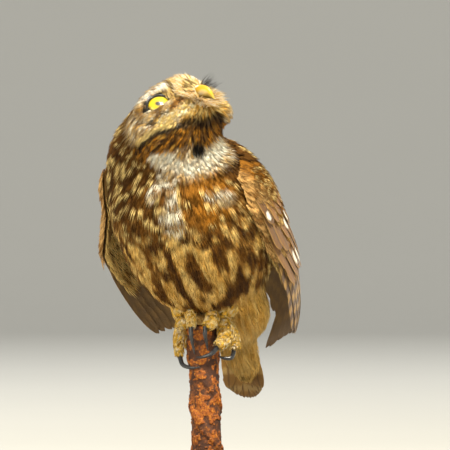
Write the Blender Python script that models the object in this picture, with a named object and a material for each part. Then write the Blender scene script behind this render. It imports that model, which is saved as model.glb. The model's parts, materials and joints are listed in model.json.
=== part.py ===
"""Little owl gripping the top of a rusty bar, head thrown back and turned, as a still life-size model.

Lengths below are millimetres and angles are degrees. The front of the frame is -Y, the floor is z = 0,
and the origin is the middle of the stand's underside. The bird's own frames are built from a few angles:
the body frame (ALONG towards the neck, LEFT towards its left wing, BELLY out of its breast) and the
head frame (AHEAD along the gaze, RIGHT towards its right ear, CROWN out of the top of its head).
"""
import math

import bmesh
import bpy
import numpy as np

MM = 0.001
GAP = 0.3
UP = np.array([0.0, 0.0, 1.0])

# How the bird holds itself
BODY_TURN, BODY_LIFT = 22.0, 50.0
HEAD_TURN, HEAD_LIFT, HEAD_ROLL = 39.0, 57.0, 18.6
TORSO_CENTRE = np.array([-4.7, 0.0, 128.5])
HEAD_CENTRE = np.array([-15.4, -24.0, 177.2])
EYE_SPLAY = 31.0

# Body and head sizes, half lengths along the frame each belongs to
TORSO_HALF = (50.0, 40.0, 40.0)
BREAST_HALF = (29.0, 31.0, 33.5)
NECK_HALF = (29.0, 28.5, 26.5)
SKULL_HALF = (23.5, 27.5, 20.3)
DISC_HALF = (7.5, 19.0, 12.5)
BROW_PLACE, BROW_RUN, BROW_HALF = (14.8, 16.0, 10.2), (-14.0, 16.0, 3.0), (13.5, 3.4, 3.2)
NECK_CENTRE = np.array([-22.0, -11.5, 159.0])

# The bar, the stand and the legs
BAR_RADIUS, BAR_FOOT, BAR_TOP, BAR_LEAN = 7.5, 15.0, 78.5, -0.0445
RIB_HEIGHT, RIB_PITCH, RIB_STARTS = 0.45, 26.0, 2
BASE_RADIUS, BASE_THICK, BASE_BEVEL = 55.0, 8.0, 1.5
PIN_RADIUS = 4.0


def unit(v):
    v = np.asarray(v, float)
    return v / np.linalg.norm(v, axis=-1, keepdims=True)


def turned(a, b, angle):
    """Direction a swung towards b by an angle."""
    t = math.radians(angle)
    return math.cos(t) * np.asarray(a) + math.sin(t) * np.asarray(b)


def facing(turn, lift):
    """Unit vector that looks out of the front, swung towards +X by turn and raised by lift."""
    flat = turned((0.0, -1.0, 0.0), (1.0, 0.0, 0.0), turn)
    return turned(flat, UP, lift)


FRONT = facing(-BODY_TURN, 0.0)
ALONG = turned(FRONT, UP, BODY_LIFT)
LEFT = np.cross(UP, FRONT)
BELLY = turned(FRONT, -UP, 90.0 - BODY_LIFT)
BODY = np.stack([ALONG, LEFT, BELLY])

AHEAD = facing(HEAD_TURN, HEAD_LIFT)
LEVEL_RIGHT = unit(np.cross(AHEAD, UP))
RIGHT = turned(LEVEL_RIGHT, -np.cross(LEVEL_RIGHT, AHEAD), HEAD_ROLL)
CROWN = np.cross(RIGHT, AHEAD)
HEAD = np.stack([AHEAD, RIGHT, CROWN])


def in_head(ahead, right, crown):
    return HEAD_CENTRE + ahead * AHEAD + right * RIGHT + crown * CROWN


def in_body(along, left, belly):
    return TORSO_CENTRE + along * ALONG + left * LEFT + belly * BELLY


def gaze(side):
    """Axis of one eye, splayed from AHEAD towards that side: side is 1 on the bird's right, -1 on its left."""
    return turned(AHEAD, side * RIGHT, EYE_SPLAY)


def eye_frame(side):
    axis = gaze(side)
    return np.stack([axis, np.cross(axis, CROWN) * side, CROWN])


def brow_frame(side):
    """Axes of the ridge over one eye, which runs back and outwards from beside the bill."""
    run = unit(BROW_RUN[0] * AHEAD + BROW_RUN[1] * side * RIGHT + BROW_RUN[2] * CROWN)
    across = unit(np.cross(run, CROWN))
    return np.stack([run, across, np.cross(run, across)])


# Centre, frame, half lengths and blend width of each swelling that the plumage's outline is made of
SWELLINGS = (
    (TORSO_CENTRE, BODY, TORSO_HALF, 1.0),
    (in_body(20.0, -6.5, 5.0), BODY, BREAST_HALF, 10.0),
    (NECK_CENTRE, BODY, NECK_HALF, 8.0),
    (in_head(-1.5, 0.3, 0.8), HEAD, SKULL_HALF, 7.0),
    (in_head(8.8, 12.3, 2.6), eye_frame(1), DISC_HALF, 4.0),
    (in_head(9.8, -12.3, 1.2), eye_frame(-1), DISC_HALF, 4.0),
    (in_head(13.0, 2.0, -8.0), HEAD, (8.5, 13.0, 7.0), 4.0),
    (in_head(12.0, -15.0, -11.0), HEAD, (7.5, 8.0, 7.5), 5.0),
    (in_head(14.5, 0.0, 7.5), HEAD, (8.5, 15.5, 7.5), 6.0),
    (in_head(19.0, 0.0, -2.0), HEAD, (7.5, 7.5, 8.5), 5.0),
    (in_head(*BROW_PLACE), brow_frame(1), BROW_HALF, 3.5),
    (in_head(BROW_PLACE[0], -BROW_PLACE[1], BROW_PLACE[2]), brow_frame(-1), BROW_HALF, 3.5),
)


def ellipsoid_distance(points, centre, frame, half):
    local = (points - centre) @ frame.T
    near = np.linalg.norm(local / half, axis=-1)
    slope = np.linalg.norm(local / np.square(half), axis=-1)
    return near * (near - 1.0) / np.maximum(slope, 1e-9)


def plumage(points):
    """About how far each point is outside the plumage: ellipsoids joined by a smooth minimum."""
    total = None
    for centre, frame, half, blend in SWELLINGS:
        one = ellipsoid_distance(points, centre, frame, np.array(half))
        if total is None:
            total = one
            continue
        share = np.maximum(blend - np.abs(total - one), 0.0) / blend
        total = np.minimum(total, one) - share * share * blend * 0.25
    return total


def reach(origins, directions, furthest=95.0, step=1.5):
    """Distance from each origin to the first place where its ray leaves the plumage, or 0 if it starts outside."""
    origins, directions = np.broadcast_arrays(origins, directions)
    inner = np.zeros(origins.shape[:-1])
    going = plumage(origins) < 0.0
    far = np.where(going, step, 0.0)
    for _ in range(int(furthest / step)):
        inside = going & (plumage(origins + far[..., None] * directions) < 0.0)
        inner = np.where(inside, far, inner)
        far = np.where(inside, far + step, far)
        going = inside
    for _ in range(12):
        middle = (inner + far) / 2.0
        inside = plumage(origins + middle[..., None] * directions) < 0.0
        inner, far = np.where(inside, middle, inner), np.where(inside, far, middle)
    return (inner + far) / 2.0


def material(name, colour, roughness, metallic=0.0):
    made = bpy.data.materials.new(name)
    made.use_nodes = True
    shader = made.node_tree.nodes["Principled BSDF"]
    shader.inputs["Base Color"].default_value = (*colour, 1.0)
    shader.inputs["Roughness"].default_value = roughness
    shader.inputs["Metallic"].default_value = metallic
    return made


def add_object(name, points, faces, finish=None, smooth=True):
    mesh = bpy.data.meshes.new(name)
    mesh.from_pydata([tuple(p) for p in np.asarray(points) * MM], [], faces)
    mesh.validate()
    made = bpy.data.objects.new(name, mesh)
    bpy.context.scene.collection.objects.link(made)
    if finish:
        mesh.materials.append(finish)
    if smooth:
        mesh.shade_smooth()
    return made


def lofted(name, rings, finish=None, start=None, end=None):
    """Closed mesh through rings of equal count: rings is (rows, around, 3). A pole closes an end to a point,
    and an end without one is a flat cap."""
    rows, around = rings.shape[:2]
    points = list(rings.reshape(-1, 3))
    faces = []
    for row in range(rows - 1):
        for i in range(around):
            j = (i + 1) % around
            low, high = row * around, (row + 1) * around
            faces.append((low + i, low + j, high + j, high + i))
    last = (rows - 1) * around
    if start is None:
        faces.append(tuple(reversed(range(around))))
    else:
        points.append(start)
        faces += [((i + 1) % around, i, len(points) - 1) for i in range(around)]
    if end is None:
        faces.append(tuple(last + i for i in range(around)))
    else:
        points.append(end)
        faces += [(last + i, last + (i + 1) % around, len(points) - 1) for i in range(around)]
    made = add_object(name, points, faces, finish)
    face_outwards(made)
    return made


def face_outwards(made):
    work = bmesh.new()
    work.from_mesh(made.data)
    bmesh.ops.recalc_face_normals(work, faces=work.faces)
    if work.calc_volume(signed=True) < 0:
        bmesh.ops.reverse_faces(work, faces=work.faces)
    work.to_mesh(made.data)
    work.free()


def largest_surface(made):
    """Keeps only the closed surface of largest volume."""
    work = bmesh.new()
    work.from_mesh(made.data)
    bmesh.ops.remove_doubles(work, verts=work.verts, dist=1e-7)
    work.verts.ensure_lookup_table()
    seen, groups = set(), []
    for vert in work.verts:
        if vert in seen:
            continue
        group, edge = {vert}, [vert]
        while edge:
            near = {e.other_vert(v) for v in edge for e in v.link_edges} - group
            group |= near
            edge = list(near)
        seen |= group
        faces = {f for v in group for f in v.link_faces}
        volume = sum(f.calc_center_median().dot(f.normal) * f.calc_area() for f in faces)
        groups.append((abs(volume), group))
    keep = max(groups, key=lambda g: g[0])[1]
    bmesh.ops.delete(work, geom=[v for v in work.verts if v not in keep], context="VERTS")
    work.to_mesh(made.data)
    work.free()


def combine(made, others, operation, solver="EXACT"):
    """One Boolean of made with a collection of closed meshes, applied, and the others removed."""
    group = bpy.data.collections.new("pieces")
    bpy.context.scene.collection.children.link(group)
    for other in others:
        group.objects.link(other)
    boolean = made.modifiers.new("pieces", "BOOLEAN")
    boolean.operation = operation
    boolean.operand_type = "COLLECTION"
    boolean.collection = group
    boolean.solver = solver
    graph = bpy.context.evaluated_depsgraph_get()
    graph.update()
    result = bpy.data.meshes.new_from_object(made.evaluated_get(graph))
    made.modifiers.remove(boolean)
    made.data = result
    for other in others:
        bpy.data.objects.remove(other)
    bpy.data.collections.remove(group)
    largest_surface(made)
    result.shade_smooth()
    return made


def smooth_path(knots, count):
    """Points of a Catmull-Rom curve through the knots, with the sizes that ride on them."""
    knots = np.asarray(knots, float)
    ends = np.vstack([2 * knots[0] - knots[1], knots, 2 * knots[-1] - knots[-2]])
    at = np.linspace(0, len(knots) - 1, count)
    span = np.minimum(at.astype(int), len(knots) - 2)
    t = (at - span)[:, None]
    a, b, c, d = (ends[span + k] for k in range(4))
    return 0.5 * (2 * b + (c - a) * t + (2 * a - 5 * b + 4 * c - d) * t**2 + (3 * b - a - 3 * c + d) * t**3)


def tube(name, knots, count=9, sides=8, finish=None, grow=0.0, pointed=False):
    """Round tube along a smooth path. Each knot is x, y, z and radius, and grow is added to every radius."""
    path = smooth_path(knots, count)
    centre, radius = path[:, :3], np.maximum(path[:, 3], 0.12) + grow
    heading = unit(np.gradient(centre, axis=0))
    side = np.cross(heading[0], UP + 0.3 * LEFT)
    rings = []
    for point, ahead, size in zip(centre, heading, radius):
        side = unit(side - (side @ ahead) * ahead)
        other = np.cross(ahead, side)
        turn = np.linspace(0, 2 * np.pi, sides, endpoint=False)[:, None]
        rings.append(point + size * (np.cos(turn) * side + np.sin(turn) * other))
    start = centre[0] - heading[0] * radius[0] * 0.6
    end = centre[-1] + heading[-1] * radius[-1] * (1.5 if pointed else 0.6)
    return lofted(name, np.array(rings), finish, start, end)


# Torso, neck and head: one surface of rays round the line from the torso's centre to the head's

SPINE = HEAD_CENTRE - TORSO_CENTRE
SPINE_LENGTH = float(np.linalg.norm(SPINE))
SPINE_UP = unit(SPINE)
SPINE_SIDE = unit(np.cross(UP, SPINE_UP))
SPINE_FRONT = np.cross(SPINE_SIDE, SPINE_UP)
HEAD_CUT, NECK_CUT = SPINE_LENGTH - 8.0, SPINE_LENGTH - 27.0
AROUND = 40


def ring_rays(height, tilt, around):
    """One ring of rays: origins at a height on the spine, tilted out of its plane."""
    turn = np.linspace(0, 2 * np.pi, around, endpoint=False)[:, None]
    flat = np.cos(turn) * SPINE_FRONT + np.sin(turn) * SPINE_SIDE
    slope = math.radians(tilt)
    direction = math.cos(slope) * flat + math.sin(slope) * SPINE_UP
    return TORSO_CENTRE + height * SPINE_UP + 0 * direction, direction


def body_rings(stations, around, inset=0.0):
    """Rings of the plumage's surface at stations of height and tilt."""
    rings = []
    for height, tilt in stations:
        origin, direction = ring_rays(height, tilt, around)
        rings.append(origin + (reach(origin, direction) - inset)[:, None] * direction)
    return np.array(rings)


def body_pole(height, way, inset=0.0):
    origin = (TORSO_CENTRE + height * SPINE_UP)[None]
    direction = way * SPINE_UP[None]
    return (origin + (reach(origin, direction) - inset)[:, None] * direction)[0]


def torso_stations():
    fan = [(0.0, tilt) for tilt in np.linspace(-80.0, 0.0, 10)]
    return fan + [(height, 0.0) for height in np.linspace(6.0, NECK_CUT - GAP / 2, 5)]


def build_torso(finish):
    return lofted("torso", body_rings(torso_stations(), AROUND), finish, start=body_pole(0.0, -1.0))


def build_neck(finish):
    return lofted("neck", body_rings(neck_stations(), AROUND), finish)


def head_stations():
    fan = [(SPINE_LENGTH, tilt) for tilt in np.linspace(0.0, 83.0, 14)]
    return [(height, 0.0) for height in np.linspace(HEAD_CUT + GAP / 2, SPINE_LENGTH - 4.0, 2)] + fan


def neck_stations():
    return [(height, 0.0) for height in np.linspace(NECK_CUT + GAP / 2, HEAD_CUT - GAP / 2, 4)]


def flesh_cutter(grow=1.5 * GAP, around=AROUND):
    """Torso, neck and head as one body grown by the gap, for what lies against them."""
    stations = torso_stations() + neck_stations() + head_stations()
    poles = body_pole(0.0, -1.0, -grow), body_pole(SPINE_LENGTH, 1.0, -grow)
    return lofted("cutter", body_rings(stations, around, -grow), None, *poles)


# Eyes and lids

CORNEA_RADIUS, CORNEA_RISE = 6.0, 2.9
IRIS_PLACE = (14.0, 17.9, 4.7)
EYEBALL_RADIUS, EYEBALL_DEPTH = 7.4, 4.2
LID_REACH, LID_TILT = 6.7, 8.0
UPPER_LID, LOWER_LID = (6.0, 1.2, 1.6), (4.2, 1.5, 3.3)


def iris_centre(side):
    ahead, out, crown = IRIS_PLACE
    return in_head(ahead, side * out, crown)


def eye_profile(grow):
    """Half outline of the eyeball and its cornea: distance along the gaze from the iris, and radius."""
    back = [
        (-EYEBALL_DEPTH - EYEBALL_RADIUS * math.cos(a) - grow, EYEBALL_RADIUS * math.sin(a) + grow)
        for a in np.linspace(0.35, 2.0, 6)
    ]
    front = [
        (CORNEA_RISE * math.cos(a) - 0.1 + grow, CORNEA_RADIUS * math.sin(a) + grow)
        for a in np.linspace(1.45, 0.3, 5)
    ]
    return back + front


def eye_shape(name, side, grow=0.0, finish=None, sides=20):
    frame, centre = eye_frame(side), iris_centre(side)
    turn = np.linspace(0, 2 * np.pi, sides, endpoint=False)[:, None]
    profile = eye_profile(grow)
    rings = [
        centre + x * frame[0] + r * (np.cos(turn) * frame[1] + np.sin(turn) * frame[2])
        for x, r in profile
    ]
    start = centre + (profile[0][0] - 0.3) * frame[0]
    end = centre + (profile[-1][0] + 0.12) * frame[0]
    return lofted(name, np.array(rings), finish, start, end)


def lid_line(side, around):
    """The lids' middle line round the eye with its thickness: an arch above and nearly straight below."""
    frame, centre = eye_frame(side), iris_centre(side)
    outer, up = turned(frame[1], frame[2], LID_TILT), turned(frame[2], -frame[1], LID_TILT)
    middles, sizes, outwards = [], [], []
    for turn in np.linspace(0, 2 * np.pi, around, endpoint=False):
        across, high = math.cos(turn), math.sin(turn)
        low = 0.5 - 0.5 * np.sign(high) * abs(high) ** 0.5
        height, thick, out = (u * (1 - low) + l * low for u, l in zip(UPPER_LID, LOWER_LID))
        rise = high if high > 0 else -abs(high) ** 0.6
        middles.append(centre + out * frame[0] + LID_REACH * across * outer + height * rise * up)
        outwards.append(unit(across * outer + high * up))
        sizes.append(thick)
    return np.array(middles), np.array(sizes), np.array(outwards)


def lid_ring(side, around=22, sides=6):
    middles, sizes, outwards = lid_line(side, around)
    axis = eye_frame(side)[0]
    turn = np.linspace(0, 2 * np.pi, sides, endpoint=False)[None, :, None]
    spin = np.cos(turn) * outwards[:, None] + np.sin(turn) * axis
    rings = middles[:, None] + sizes[:, None, None] * spin
    faces = []
    for row in range(around):
        low, high = row * sides, (row + 1) % around * sides
        faces += [(low + i, low + (i + 1) % sides, high + (i + 1) % sides, high + i) for i in range(sides)]
    made = add_object("lids", rings.reshape(-1, 3), faces)
    face_outwards(made)
    return made


def eye_opening(side, around=22):
    """What is taken off the face in front of the eye, as wide as the lids' line and flaring outwards."""
    middles, _, outwards = lid_line(side, around)
    axis = eye_frame(side)[0]
    rings = [middles + out * axis + flare * outwards for out, flare in ((-4.0, -1.0), (0.0, 0.0), (9.0, 5.0))]
    return lofted("opening", np.array(rings))


# Bill

BILL_STATIONS = (
    # ahead and crown of the mouth line, culmen and chin edge, then half width
    ((15.0, -5.5), (17.0, 2.5), (15.0, -11.0), 4.6),
    ((20.0, -6.3), (22.5, 1.6), (19.5, -10.8), 4.3),
    ((23.3, -8.0), (27.3, -1.2), (22.3, -11.2), 3.5),
    ((24.9, -10.2), (29.0, -5.6), (23.9, -12.0), 2.5),
    ((26.1, -12.6), (28.9, -9.8), (24.8, -12.9), 1.4),
    ((27.0, -14.6), (27.9, -13.6), (25.4, -13.3), 0.45),
)


def bill_half(name, edge, stations, finish=None, grow=0.0, lift=0.0, sides=9):
    """One half of the bill: an arched section between the mouth line and the culmen (edge 1) or chin (edge 2)."""
    rings = []
    for station in stations:
        mouth, top, half = np.array(station[0]), np.array(station[edge]), station[3]
        away = (top - mouth) / np.linalg.norm(top - mouth)
        mouth, top = mouth + away * lift, top + away * grow
        width = half * (1.0 if edge == 1 else 0.8) + grow
        ring = []
        for angle in np.linspace(0.0, math.pi, sides):
            ahead, crown = mouth + (top - mouth) * math.sin(angle) ** 0.8
            ring.append(in_head(ahead, width * math.cos(angle), crown))
        ring.append(in_head(mouth[0], 0.0, mouth[1]))
        rings.append(ring)
    return lofted(name, np.array(rings), finish)


def build_bill(finish):
    upper = bill_half("bill_upper", 1, BILL_STATIONS, finish, lift=GAP / 2)
    nostrils = [
        tube("nostril", [(*in_head(23.4, s * 2.6, -2.6), 0.8), (*in_head(24.2, s * 5.0, -2.2), 0.9)], 3, 8)
        for s in (1, -1)
    ]
    combine(upper, nostrils, "DIFFERENCE")
    lower = bill_half("bill_lower", 2, BILL_STATIONS[:5], finish, lift=GAP / 2)
    return upper, lower


def build_head(finish):
    head = lofted("head", body_rings(head_stations(), AROUND), finish, end=body_pole(SPINE_LENGTH, 1.0))
    combine(head, [eye_opening(1), eye_opening(-1)], "DIFFERENCE", "MANIFOLD")
    combine(head, [lid_ring(1), lid_ring(-1)], "UNION", "MANIFOLD")
    cutters = [eye_shape("socket", side, GAP) for side in (1, -1)]
    cutters += [bill_half("socket", edge, BILL_STATIONS, grow=GAP, lift=-GAP) for edge in (1, 2)]
    return combine(head, cutters, "DIFFERENCE", "MANIFOLD")


# Wings: feathers lie on a shell round the body, placed by distance along the body and angle round it

WING_FRONT, WING_BACK = 32.0, -96.0
BODY_WIDEST = 46.0
SHELL_RADIUS = 43.5
SHELL_POWER = {1: 2.5, -1: 2.05}
SHOULDER_DRAW, SHOULDER_LENGTH = {1: 0.055, -1: 0.0}, 35.0
WING_SPREAD = {1: 1.0, -1: 1.19}
WING_LOOSE = {1: 0.7, -1: 2.4}
VANE_THICK, VANE_TILT = 0.6, -0.85


def shell_radius(side, along):
    """Radius of the wing's shell about the body's line, a superellipse that draws in at the shoulder and rump."""
    share = np.clip(np.abs(np.minimum(along, 0.0)) / -WING_BACK, 0.0, 0.995)
    draw = 1.0 - SHOULDER_DRAW[side] * np.clip(along / SHOULDER_LENGTH + 1.0, 0.0, 1.0)
    power = SHELL_POWER[side]
    return SHELL_RADIUS * WING_SPREAD[side] * draw * (1.0 - share**power) ** (1.0 / power)


def ray_round(side, along, angle):
    """Origin on the body's line and direction out of it: angle 0 is straight out to the side, 90 is the back."""
    t = np.radians(angle)[..., None]
    direction = np.cos(t) * side * LEFT - np.sin(t) * BELLY
    return TORSO_CENTRE + along[..., None] * ALONG, direction


def wing_radius(side, along, angle):
    """The shell, kept outside the plumage, and hugging it at the shoulder."""
    body = np.minimum(reach(*ray_round(side, along, angle)), BODY_WIDEST)
    shell = shell_radius(side, along)
    shoulder = np.clip((along + 10.0) / 25.0, 0.0, 1.0)
    shell = shell * (1.0 - shoulder) + (body + WING_LOOSE[side]) * shoulder
    return np.maximum(shell, body + WING_LOOSE[side]), body


def wing_points(side, along, angle, height):
    along, angle, height = np.broadcast_arrays(*(np.asarray(values, float) for values in (along, angle, height)))
    radius, body = wing_radius(side, along, angle)
    radius = np.maximum(radius + height, np.where(body > 0, body + 1.2 * GAP, 0.0))
    origin, direction = ray_round(side, along, angle)
    return origin + radius[..., None] * direction


def vane(side, root, tip, half, rise, rows=4):
    """One feather as a thin curved plate. Root and tip are (along, angle), rise is its height over the shell at
    root and tip, half its half width, and VANE_TILT lays its leading edge over its neighbour. Both faces share
    their diagonals."""
    share = np.linspace(0.0, 1.0, rows)
    outline = half * np.array([0.6, 1.0, 0.95, 0.5])
    along = root[0] + (tip[0] - root[0]) * share
    angle = root[1] + (tip[1] - root[1]) * share
    height = rise[0] + (rise[1] - rise[0]) * share
    radius = np.maximum(wing_radius(side, along, angle)[0], 8.0)
    across = np.array([-1.0, 0.0, 1.0])
    spread = np.degrees(outline / radius)[:, None] * across
    back = along[:, None] + np.array([0, 0, 0, 1.0])[:, None] * np.abs(across) * half * 0.6
    lifted = height[:, None] + VANE_TILT * across - 0.2 * np.abs(across)
    top = wing_points(side, back, angle[:, None] + spread, lifted + VANE_THICK / 2)
    low = wing_points(side, back, angle[:, None] + spread, lifted - VANE_THICK / 2)
    return plate("vane", top, low)


def plate(name, top, low):
    """Closed plate between two grids of rows by columns points."""
    rows, columns = top.shape[:2]
    points = np.concatenate([top.reshape(-1, 3), low.reshape(-1, 3)])
    under = rows * columns

    def at(row, column):
        return row * columns + column

    faces = []
    for row in range(rows - 1):
        for column in range(columns - 1):
            a, b = at(row, column), at(row, column + 1)
            c, d = at(row + 1, column + 1), at(row + 1, column)
            faces += [(a, b, c), (a, c, d), (under + c, under + b, under + a), (under + d, under + c, under + a)]
    rim = [at(0, c) for c in range(columns)] + [at(r, columns - 1) for r in range(1, rows)]
    rim += [at(rows - 1, c) for c in range(columns - 2, -1, -1)] + [at(r, 0) for r in range(rows - 2, 0, -1)]
    for a, b in zip(rim, rim[1:] + rim[:1]):
        faces += [(a, under + a, under + b), (a, under + b, b)]
    made = add_object(name, points, faces)
    face_outwards(made)
    return made


# Each tier: count, root (along, angle) of its first and last feather, tips likewise, half width, rise at root
# and tip. They are the primaries, the secondaries, the greater coverts and the median coverts.
WING_TIERS = (
    (7, (-10.0, -10.0), (-26.0, 34.0), (-66.0, -7.0), (-92.0, 58.0), 4.6, (0.0, 0.3)),
    (5, (-14.0, 38.0), (-4.0, 74.0), (-82.0, 50.0), (-66.0, 82.0), 5.0, (0.4, 1.2)),
    (7, (6.0, -8.0), (6.0, 66.0), (-38.0, 0.0), (-30.0, 74.0), 5.2, (0.5, 2.2)),
    (6, (19.0, -4.0), (17.0, 56.0), (-8.0, -6.0), (-4.0, 66.0), 5.6, (0.5, 2.8)),
)


def wing_core(side, rows=8, columns=7):
    """The arm and hand with their small feathers: a lens of the shell, thick at the shoulder and thin behind."""
    along = np.linspace(WING_FRONT, -40.0, rows)
    share = np.linspace(0.0, 1.0, rows)
    first = np.interp(share, [0, 0.15, 0.4, 0.75, 1.0], [-2.0, -12.0, -13.0, -10.0, -4.0])
    last = np.interp(share, [0, 0.15, 0.4, 0.75, 1.0], [18.0, 48.0, 70.0, 76.0, 62.0])
    across = np.linspace(0.0, 1.0, columns)
    angle = first[:, None] + (last - first)[:, None] * across
    thick = 1.1 + 1.1 * (1 - share[:, None]) * np.sin(np.pi * np.clip(across + 0.12, 0, 1))
    ends = np.clip(np.minimum(share, 1 - share) * 8.0 + 0.35, 0.0, 1.0)[:, None]
    rims = np.clip(np.minimum(across, 1 - across) * 8.0 + 0.4, 0.0, 1.0)
    thick = thick * ends * rims
    along = np.broadcast_to(along[:, None], angle.shape)
    radius, body = wing_radius(side, along, angle)
    hug = np.clip((along + 10.0) / 20.0, 0.0, 1.0)
    inner = np.maximum((radius - 1.1) * (1 - hug), body + 2.5 * GAP)
    outer = np.maximum(radius - 0.2 + thick, inner + 0.6)
    origin, direction = ray_round(side, along, angle)
    return plate("core", origin + outer[..., None] * direction, origin + inner[..., None] * direction)


def build_wing(name, side, finish):
    wing = wing_core(side)
    wing.name = name
    wing.data.materials.append(finish)
    vanes = []
    for count, root_a, root_b, tip_a, tip_b, half, rise in WING_TIERS:
        for i in range(count):
            share = i / (count - 1)
            root = np.array(root_a) + (np.array(root_b) - np.array(root_a)) * share
            tip = np.array(tip_a) + (np.array(tip_b) - np.array(tip_a)) * share
            tip[0] -= 2.5 * math.sin(math.pi * share)
            vanes.append(vane(side, root, tip, half, rise))
    combine(wing, vanes, "UNION", "MANIFOLD")
    return combine(wing, [flesh_cutter()], "DIFFERENCE", "MANIFOLD")


# Tail: feathers in a flat fan under long soft coverts

TAIL_FEATHERS, TAIL_TIP, TAIL_ROOT = 8, -112.0, -46.0
TAIL_HALF_SPREAD, TAIL_FEATHER_HALF = 8.0, 5.0
# Stations of the soft coverts: along, left and belly of the middle, half width and half depth
COVERTS = (
    (-36.0, 7.0, 8.0, 22.5, 13.0),
    (-50.0, 8.0, 6.0, 21.5, 12.0),
    (-64.0, 5.0, 4.5, 15.0, 9.0),
    (-78.0, 4.0, 4.5, 10.5, 6.0),
    (-90.0, 2.5, 4.8, 6.5, 3.5),
    (-98.0, 1.5, 5.0, 2.5, 1.4),
)


def tail_vane(index, rows=4):
    share = index / (TAIL_FEATHERS - 1) * 2.0 - 1.0
    depth = 1.0 + 0.9 * (1 - abs(share)) + 0.4 * (index % 2)
    down = np.linspace(0.0, 1.0, rows)
    tip = TAIL_TIP + 7.0 * share * share
    along = TAIL_ROOT + (tip - TAIL_ROOT) * down
    centre = 2.0 - 2.0 * down + share * (2.0 + (TAIL_HALF_SPREAD - 2.0) * down)
    half = TAIL_FEATHER_HALF * np.array([0.6, 0.95, 1.0, 0.6])
    across = np.array([-1.0, 0.0, 1.0])
    left = centre[:, None] + half[:, None] * across
    sink = 3.0 - 9.0 * down[:, None] + depth + 0.3 * np.abs(across)
    back = along[:, None] + np.array([0, 0, 0, 1.0])[:, None] * np.abs(across) * 3.0
    grid = TORSO_CENTRE + back[..., None] * ALONG + left[..., None] * LEFT
    top = grid - (sink + VANE_THICK / 2)[..., None] * BELLY
    low = grid - (sink - VANE_THICK / 2)[..., None] * BELLY
    return plate("vane", top, low)


def soft_coverts(name, grow=0.0, finish=None):
    """The cone of soft feathers under the tail, wide across the body and shallower from back to belly."""
    turn = np.linspace(0, 2 * np.pi, 16, endpoint=False)[:, None]
    rings = [
        in_body(*at[:3]) + (at[3] + grow) * np.cos(turn) * LEFT + (at[4] + grow) * np.sin(turn) * BELLY
        for at in smooth_path(COVERTS, 10)
    ]
    return lofted(name, np.array(rings), finish, in_body(-30.0, 5.0, 9.0), in_body(-100.0 - grow, 1.0, 5.0))


def build_tail(finish):
    """The feathers' fan and the soft coverts beneath it, trimmed clear of the torso."""
    tail = soft_coverts("tail", finish=finish)
    combine(tail, [tail_vane(i) for i in range(TAIL_FEATHERS)], "UNION")
    return combine(tail, [flesh_cutter()], "DIFFERENCE", "MANIFOLD")


# Legs, toes and claws, laid round the bar by angle (0 is the front, 90 the image right), clearance and height


def bar_axis(height):
    return np.array([BAR_LEAN * (height - BAR_FOOT), 0.0, height])


def round_bar(angle, clear, height):
    t = math.radians(angle)
    return bar_axis(height) + (BAR_RADIUS + clear) * np.array([math.sin(t), -math.cos(t), 0.0])


def wrap(knots):
    """Knots of (angle, clearance, height, radius) round the bar as x, y, z, radius."""
    return [(*round_bar(a, c, h), r) for a, c, h, r in knots]


# Toes: knots from the palm to the toe's end, and the claw's from its root to its point
TOES = {
    "right": {
        "1": (((-70, -2.5, 84, 3.2), (-42, 0.5, 83.5, 3.0), (-28, 3.2, 80, 2.7), (-27, 4.2, 77.5, 2.3)),
              ((-27, 4.4, 77.8, 1.5), (-27, 4.6, 73.5, 1.25), (-29, 2.4, 68.0, 0.8), (-30, 0.9, 64.0, 0.25))),
        "2": (((-82, 1.0, 82, 3.4), (-84, 3.6, 76, 3.2), (-88, 4.4, 69, 2.9), (-84, 4.4, 63, 2.4)),
              ((-84, 4.2, 62.5, 1.5), (-70, 3.4, 58.6, 1.3), (-40, 1.7, 57.2, 0.9), (-12, 0.9, 57.6, 0.25))),
        "3": (((-130, 0.0, 83, 3.2), (-140, 3.4, 79, 3.0), (-142, 4.0, 72, 2.7), (-142, 3.8, 67, 2.3)),
              ((-142, 3.9, 67.2, 1.4), (-142, 4.0, 63.0, 1.2), (-141, 2.2, 58.0, 0.8), (-140, 0.9, 54.5, 0.25))),
    },
    "left": {
        "1": (((60, -2.5, 84, 3.2), (42, 1.0, 82.5, 3.6), (24, 3.8, 79.8, 3.7), (10, 4.2, 77.8, 2.8)),
              ((9, 4.2, 78.0, 1.5), (7, 4.6, 74.0, 1.3), (12, 2.6, 69.5, 0.8), (17, 0.9, 65.8, 0.25))),
        "2": (((86, 1.0, 82, 4.2), (78, 4.6, 77, 4.4), (60, 5.0, 71, 3.9), (38, 4.4, 67.5, 2.9)),
              ((40, 4.0, 67.6, 1.5), (24, 3.6, 64.5, 1.3), (0, 1.9, 62.7, 0.9), (-24, 0.9, 62.6, 0.25))),
        "3": (((104, 2.0, 81, 4.0), (94, 6.0, 76, 4.2), (86, 8.0, 70, 3.8), (82, 8.6, 66, 3.2)),
              ((82, 8.2, 65.6, 1.5), (76, 7.0, 62.3, 1.3), (66, 3.8, 62.0, 0.9), (56, 1.4, 63.2, 0.25))),
        "4": (((140, 0.0, 83, 3.2), (146, 3.4, 79, 3.0), (148, 4.0, 72, 2.7), (148, 3.8, 67, 2.3)),
              ((148, 3.9, 67.2, 1.4), (148, 4.0, 63.0, 1.2), (148, 2.2, 58.0, 0.8), (148, 0.9, 54.5, 0.25))),
    },
}
SHANKS = {
    "right": ((-11.5, 8.0, 92.0, 8.0), (-12.0, 4.0, 85.5, 6.2), (-11.0, 1.0, 81.5, 4.6)),
    "left": ((10.0, 6.0, 92.0, 8.5), (7.5, 3.0, 86.0, 7.0), (5.8, 1.0, 82.0, 5.2)),
}


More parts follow.
